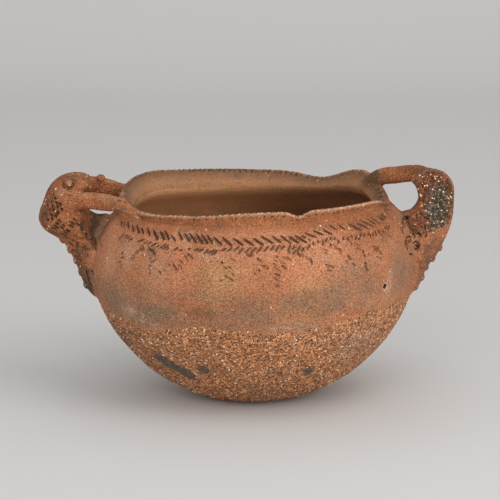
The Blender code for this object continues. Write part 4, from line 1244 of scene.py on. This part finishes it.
# Grit: each cell is a grain of its own tone, and the foot is rubbed smoother
height = add("SeparateXYZ", {"Vector": spot}).outputs["Z"]
off_foot = mask(height, 0.007, 0.020)
grain_shape, grain_tone = grains_of(950.0, 0.22)
small_shape, small_tone = grains_of(1900.0, 0.2)
core_colour = colours(mask(fine, 0.4, 0.6), (0.055, 0.045, 0.032), (0.15, 0.120, 0.085))
scar_colour = colours(mask(fine, 0.38, 0.62), (0.15, 0.050, 0.020), (0.29, 0.100, 0.042))
scar_colour = colours(kept("core"), scar_colour, core_colour)
pale = times(without(times(kept("scar"), 0.75)), plus(0.6, times(off_foot, 0.4)))
grit_colour = layered((0.32, 0.122, 0.048), (
    (mask(fine, 0.38, 0.62), (0.68, 0.300, 0.135)),
    (mask(clouds(90, 3.0, 0.6), 0.42, 0.62, 0.55), (0.36, 0.165, 0.072)),
    (kept("scar"), scar_colour),
    (times(small_shape, mask(small_tone["Red"], 0.68, 0.97, 0.75), pale), (0.62, 0.33, 0.165)),
    (times(grain_shape, mask(grain_tone["Red"], 0.86, 0.98), pale), (0.86, 0.58, 0.36)),
    (times(grain_shape, mask(grain_tone["Green"], 0.60, 0.85)), (0.09, 0.034, 0.014)),
))
# The inside, with painted light: lighter at the top, and painted shade towards the right
inner_colour = colours(mask(middling, 0.3, 0.7), (0.34, 0.160, 0.068), (0.44, 0.205, 0.090))
inner_colour = colours(kept("inner_painted_shade"), inner_colour, (0.13, 0.053, 0.020))
inner_top_lit = colours(kept("inner_painted_shade"), (0.53, 0.260, 0.114), (0.24, 0.108, 0.046))
inner_colour = colours(mask(height, 0.062, 0.071), inner_colour, inner_top_lit)
# A few grains and pin holes show in the skin as well, with grime and painted shade on the lugs and salts over
# it
pin_holes = times(small_shape, mask(small_tone["Blue"], 0.84, 0.95, 0.7))
surface = layered(skin_colour, (
    (bare, grit_colour),
    (times(small_shape, mask(small_tone["Green"], 0.90, 0.97, 0.6)), (0.66, 0.44, 0.27)),
    (pin_holes, (0.11, 0.045, 0.022)),
    (stain("grime_and_shade", middling, 0.2, 0.6, 0.9), (0.095, 0.050, 0.026)),
    (stain("salt", fine, 0.4, 0.62, 0.75), (0.52, 0.38, 0.29)),
    (within, inner_colour),
))
# Every part is speckled finely, most where it is bare and least inside
speckle = plus(2.9, times(bare, 1.6), times(kept("lug"), 0.8))
speckle = times(speckle, without(times(calc("MAXIMUM", within, collar), 0.65)), plus(speck, -0.5))
surface = colours(1.0, surface, calc("MAXIMUM", plus(1.0, speckle), 0.3), "MULTIPLY")
# Dirt and painted shade darken the strokes, between banks with a painted highlight. A pale line, partly wear
# and partly painted highlight, follows the lip's outer edge and dips under each notch, and the hole has a
# pale rim and a bore painted black as shade.
aside = calc("ABSOLUTE", kept("beside"))
stroke = times(without(mask(aside, 0.35, 1.05)), kept("mark"))
banks_highlight = times(between(aside, 1.0, 1.25, 1.35, 1.8), kept("mark"))
dip = times(without(mask(aside, 0.1, 1.1)), mask(kept("mark"), 0.1, 0.3, 0.75))
under = calc("SUBTRACT", kept("below_lip"), dip)
lip_line_worn_and_lit = times(kept("crest"), between(under, -0.4, -0.15, 0.3, 0.6), mask(fine, 0.25, 0.55, 0.9))
lip_line_worn_and_lit = calc("MAXIMUM", lip_line_worn_and_lit, stain("rubbed_and_lit", fine, 0.2, 0.5, 0.7))
hole_rim = times(between(kept("hole"), 1.1, 1.3, 1.5, 1.9), mask(fine, 0.3, 0.6, 0.8))
# Wear and a painted highlight lighten what stands out, and dirt and painted shade darken what lies deep
surface = layered(surface, (
    (times(kept("smudge"), 0.88), (0.100, 0.090, 0.073)),
    (mask(kept("bend"), 0.10, 0.38, 0.45), (0.52, 0.28, 0.155)),
    (mask(times(kept("bend"), -1.0), 0.08, 0.40, 0.7), (0.085, 0.034, 0.016)),
    (times(banks_highlight, mask(fine, 0.3, 0.6, 0.45)), (0.60, 0.33, 0.19)),
    (times(stroke, 0.92), (0.080, 0.031, 0.015)),
    (lip_line_worn_and_lit, (0.56, 0.34, 0.21)),
    (hole_rim, (0.60, 0.47, 0.38)),
    (without(mask(kept("hole"), 0.9, 1.25)), (0.020, 0.010, 0.006)),
))
tree.links.new(surface, shader.inputs["Base Color"])
tree.links.new(ramp(middling, 0.2, 0.8, 0.78, 0.95), shader.inputs["Roughness"])
shader.inputs["Specular IOR Level"].default_value = 0.25

fine_bumps = plus(times(finest, 0.3), times(speck, 0.8), times(fine, 0.6))
fine_bumps = times(fine_bumps, without(times(kept("inside"), 0.6)))
fine_bumps = times(fine_bumps, plus(0.65, times(calc("MAXIMUM", bare, kept("lug")), 0.6)))
grit_bumps = times(plus(times(grain_shape, 1.4), times(small_shape, 0.9)), plus(times(bare, 0.9), 0.12))
bumps = plus(fine_bumps, grit_bumps, times(pin_holes, -1.2), times(stroke, -1.0), times(banks_highlight, 0.35))
bump = add("Bump", {"Height": bumps, "Distance": 0.00042, "Strength": 1.0})
tree.links.new(bump.outputs["Normal"], shader.inputs["Normal"])
pot.data.materials.append(clay)
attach(pot, "root")
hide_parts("pot")


# The grit
# Crushed stone and shell that was kneaded into the clay. The grains stand out of the worn lower wall and
# of the broken cheek, and a few show through the smoothed skin.

# Grains of a square millimetre on the skin, the worn wall, the scar and the lugs
DENSITIES = (0.004, 0.21, 0.10, 0.03)
# The largest grains: their places and radii in millimetres
LARGE_GRAINS = (
    (-37.9, -40.1, 28, 0.75), (-33.3, -44.9, 29.3, 0.45), (-31.8, -46.1, 29.6, 0.35),
    (-17, -55.8, 34, 0.45), (-16.5, -54.9, 32.1, 0.6), (-17.8, -56.9, 37.1, 0.4), (-21.9, -54.7, 35.1, 0.4),
    (-33.5, -39.7, 23.5, 0.55), (-11.4, -51.3, 24.3, 0.8), (-10.6, -50.3, 22.7, 0.5),
    (-17.5, -48.1, 22.4, 0.5), (-21.9, -41.6, 17.7, 0.4), (-7.8, -47.4, 18.7, 0.35),
    (-5.8, -52.6, 24.8, 0.35), (-21.1, -55.9, 37.4, 0.4), (-25.6, -53.5, 36.1, 0.35),
    (-24.2, -52, 32.3, 0.35), (9.9, -50.8, 23.2, 0.6), (10.6, -49.8, 22.1, 0.4), (4.3, -55.5, 29.1, 0.35),
    (13.4, -55.3, 31.3, 0.35), (21.6, -50.2, 27.1, 0.35), (0.6, -48.6, 19.1, 0.4), (18.1, -43.9, 18, 0.35),
    (32.3, -40.5, 23.3, 0.35), (5.3, -57.2, 32.4, 0.35), (-2.7, -57.9, 33.3, 0.35), (17, -55.5, 33.6, 0.35),
    (26.3, -52.4, 34.7, 0.35), (36, -41.7, 27.8, 0.4), (-10.8, -59.1, 62.7, 0.3),
    (-42.8, -27.5, 73.1, 0.45), (-52.3, -15.2, 78.5, 0.3), (-60.6, 8.9, 77.5, 0.3), (-72.9, -12, 68.3, 0.3),
    (-71.5, -11.3, 76.7, 0.3), (-57.1, -8.9, 65.6, 0.3), (50.6, -37.5, 54.8, 0.4),
    (48.2, -37.9, 49.4, 0.35), (69.7, -4.6, 84.6, 0.5), (71, -4.9, 83.7, 0.5), (66.7, -4.6, 82, 0.4),
    (71.6, -4.8, 80.3, 0.45), (68.7, -4.8, 77.1, 0.5), (74.8, -5.5, 77.2, 0.4), (64.4, -4.8, 78, 0.5),
    (67.9, -4.7, 75.4, 0.4), (63.8, -4.2, 85.8, 0.5), (64.9, -4.3, 85.3, 0.4), (66.2, -5.5, 72.4, 0.4),
    (68.3, -6.1, 71.1, 0.4), (74.3, -5.9, 72.6, 0.35), (72.5, -7.4, 68.6, 0.65), (67, -7.4, 68.2, 0.35),
    (69.7, -5, 80.1, 0.3), (70.7, -5.5, 74.6, 0.3), (69.1, -7.8, 68, 0.35), (70.6, -7.5, 68.3, 0.35),
)
faces = np.array([face.vertices for face in pot.data.polygons])
corners = places[faces]
spans = np.linalg.norm(np.cross(corners[:, 1] - corners[:, 0], corners[:, 2] - corners[:, 0]), axis=1) / 2
middles = corners.mean(axis=1)
open_air = (1 - inside_share[faces].max(axis=1)) * (middles[:, 2] > 1.5 * MM)
open_air *= (cut[faces].max(axis=1) < 0.1 * MM) * (smudged[faces].max(axis=1) < 0.3)
shares = [1, wear_share[faces].mean(axis=1), scar_share[faces].mean(axis=1), lug_share[faces].mean(axis=1)]
weights = sum(density * share for density, share in zip(DENSITIES, shares)) * open_air * spans / MM**2
dice = np.random.default_rng(11)
chosen = dice.choice(len(faces), size=int(weights.sum()), replace=False, p=weights / weights.sum())
grains = [(Vector(middles[face]), min(0.16 + 0.07 * dice.gamma(2.0), 0.42) * MM) for face in chosen]
grains += [(Vector(place) * MM, radius * MM) for *place, radius in LARGE_GRAINS]
pot_tree = BVHTree.FromPolygons([Vector(place) for place in places], faces.tolist())
grit_mesh = bmesh.new()
tones = grit_mesh.verts.layers.float.new("tone")
for place, radius in grains:
    point, facing = pot_tree.find_nearest(place)[:2]
    sides = Matrix.Diagonal((*(radius * dice.uniform(0.75, 1.2, 2)), radius * 0.75, 1))
    spin = Matrix.Rotation(dice.uniform(0, math.tau), 4, "Z")
    turn = facing.to_track_quat("Z", "X").to_matrix().to_4x4()
    turn = Matrix.Translation(point - 0.25 * radius * facing) @ turn @ spin @ sides
    tone = 1.0 if radius > 0.3 * MM else dice.uniform(0.0, 1.0)
    for vert in bmesh.ops.create_icosphere(grit_mesh, subdivisions=1, radius=1.0, matrix=turn)["verts"]:
        vert.co += facing * radius * dice.uniform(-0.15, 0.15)
        vert.co = np.clip(vert.co, np.array(cad_low), np.array(cad_high))
        vert[tones] = tone
grit = part("temper_grains", grit_mesh)
grit.data.shade_smooth()
stone = bpy.data.materials.new("temper_grains")
stone.use_nodes = True
tree = stone.node_tree
shader = tree.nodes["Principled BSDF"]
spot = add("TexCoord", {}).outputs["Object"]
grain_colour = layered((0.30, 0.125, 0.058), (
    (mask(kept("tone"), 0.1, 0.5), (0.56, 0.31, 0.165)),
    (mask(kept("tone"), 0.5, 0.95), (0.80, 0.60, 0.41)),
    (mask(clouds(1800, 3.0, 0.6), 0.45, 0.7, 0.5), (0.34, 0.165, 0.085)),
))
tree.links.new(grain_colour, shader.inputs["Base Color"])
tree.links.new(mask(clouds(900), 0.0, 1.0), shader.inputs["Roughness"])
bump = add("Bump", {"Height": clouds(2600, 2.0), "Distance": 0.0001, "Strength": 0.8})
tree.links.new(bump.outputs["Normal"], shader.inputs["Normal"])
grit.data.materials.append(stone)
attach(grit, "root")


# The floor, the light and the camera
# A plain pale sheet that sweeps up well behind the pot, large soft lights from the front and the right, one
# over the back of the sheet, and a long lens a little above the pot's lip.
SWEEP_START = 0.95
SWEEP_RADIUS = 0.35
sweep = [(-1.6, 0.0), (SWEEP_START, 0.0)]
for turn in range(6, 90, 6):
    at = math.radians(turn)
    sweep.append((SWEEP_START + SWEEP_RADIUS * math.sin(at), SWEEP_RADIUS - SWEEP_RADIUS * math.cos(at)))
sweep += [(SWEEP_START + SWEEP_RADIUS, SWEEP_RADIUS), (SWEEP_START + SWEEP_RADIUS, 1.6)]
floor_mesh = bmesh.new()
points = [floor_mesh.verts.new((-2.0, along, height)) for along, height in sweep]
edges = [floor_mesh.edges.new(pair) for pair in zip(points, points[1:])]
grown = bmesh.ops.extrude_edge_only(floor_mesh, edges=edges)["geom"]
grown_verts = [one for one in grown if isinstance(one, bmesh.types.BMVert)]
bmesh.ops.translate(floor_mesh, vec=(4.0, 0, 0), verts=grown_verts)
floor_mesh.normal_update()
if floor_mesh.faces[:][0].normal.z < 0:
    bmesh.ops.reverse_faces(floor_mesh, faces=floor_mesh.faces)
floor = part("floor", floor_mesh)
floor.data.shade_smooth()
paint = bpy.data.materials.new("pale_floor")
paint.use_nodes = True
shader = paint.node_tree.nodes["Principled BSDF"]
shader.inputs["Base Color"].default_value = (0.57, 0.56, 0.55, 1)
shader.inputs["Roughness"].default_value = 0.8
floor.data.materials.append(paint)

world = bpy.data.worlds.new("studio")
world.use_nodes = True
sky = world.node_tree.nodes["Background"]
sky.inputs["Color"].default_value = (1, 1, 1, 1)
sky.inputs["Strength"].default_value = 0.72
bpy.context.scene.world = world
bpy.context.scene.view_settings.view_transform = "Standard"


def soft_light(name, place, size, watts, target=Vector((0, 0, 0.045))):
    """A square light that looks at the pot, or at another target."""
    data = bpy.data.lights.new(name, "AREA")
    data.size = size
    data.energy = watts
    light = bpy.data.objects.new(name, data)
    light.location = place
    light.rotation_euler = (target - light.location).to_track_quat("-Z", "Y").to_euler()
    bpy.context.scene.collection.objects.link(light)


soft_light("key", Vector((0.38, -0.42, 0.80)), 0.6, 1.6)
soft_light("front", Vector((-0.30, -1.1, 0.36)), 1.0, 7.0)
soft_light("side", Vector((0.95, -0.65, 0.40)), 0.8, 5.6)
soft_light("sheet", Vector((0, 1.0, 1.0)), 0.7, 1.0, Vector((0, 1.0, 0)))

FOCAL_PIXELS = 2323
PICTURE_PIXELS = 500
ABOVE_LEVEL = math.radians(10.5)
lens = bpy.data.cameras.new("camera")
lens.sensor_width = 36
lens.lens = FOCAL_PIXELS / PICTURE_PIXELS * lens.sensor_width
camera = bpy.data.objects.new("camera", lens)
distance, aim_height, pixels_left = 0.9, 0.056, 3.2
camera.location = (
    -pixels_left / FOCAL_PIXELS * distance,
    -distance * math.cos(ABOVE_LEVEL),
    aim_height + distance * math.sin(ABOVE_LEVEL),
)
camera.rotation_euler = (math.pi / 2 - ABOVE_LEVEL, 0, 0)
bpy.context.scene.collection.objects.link(camera)
bpy.context.scene.camera = camera
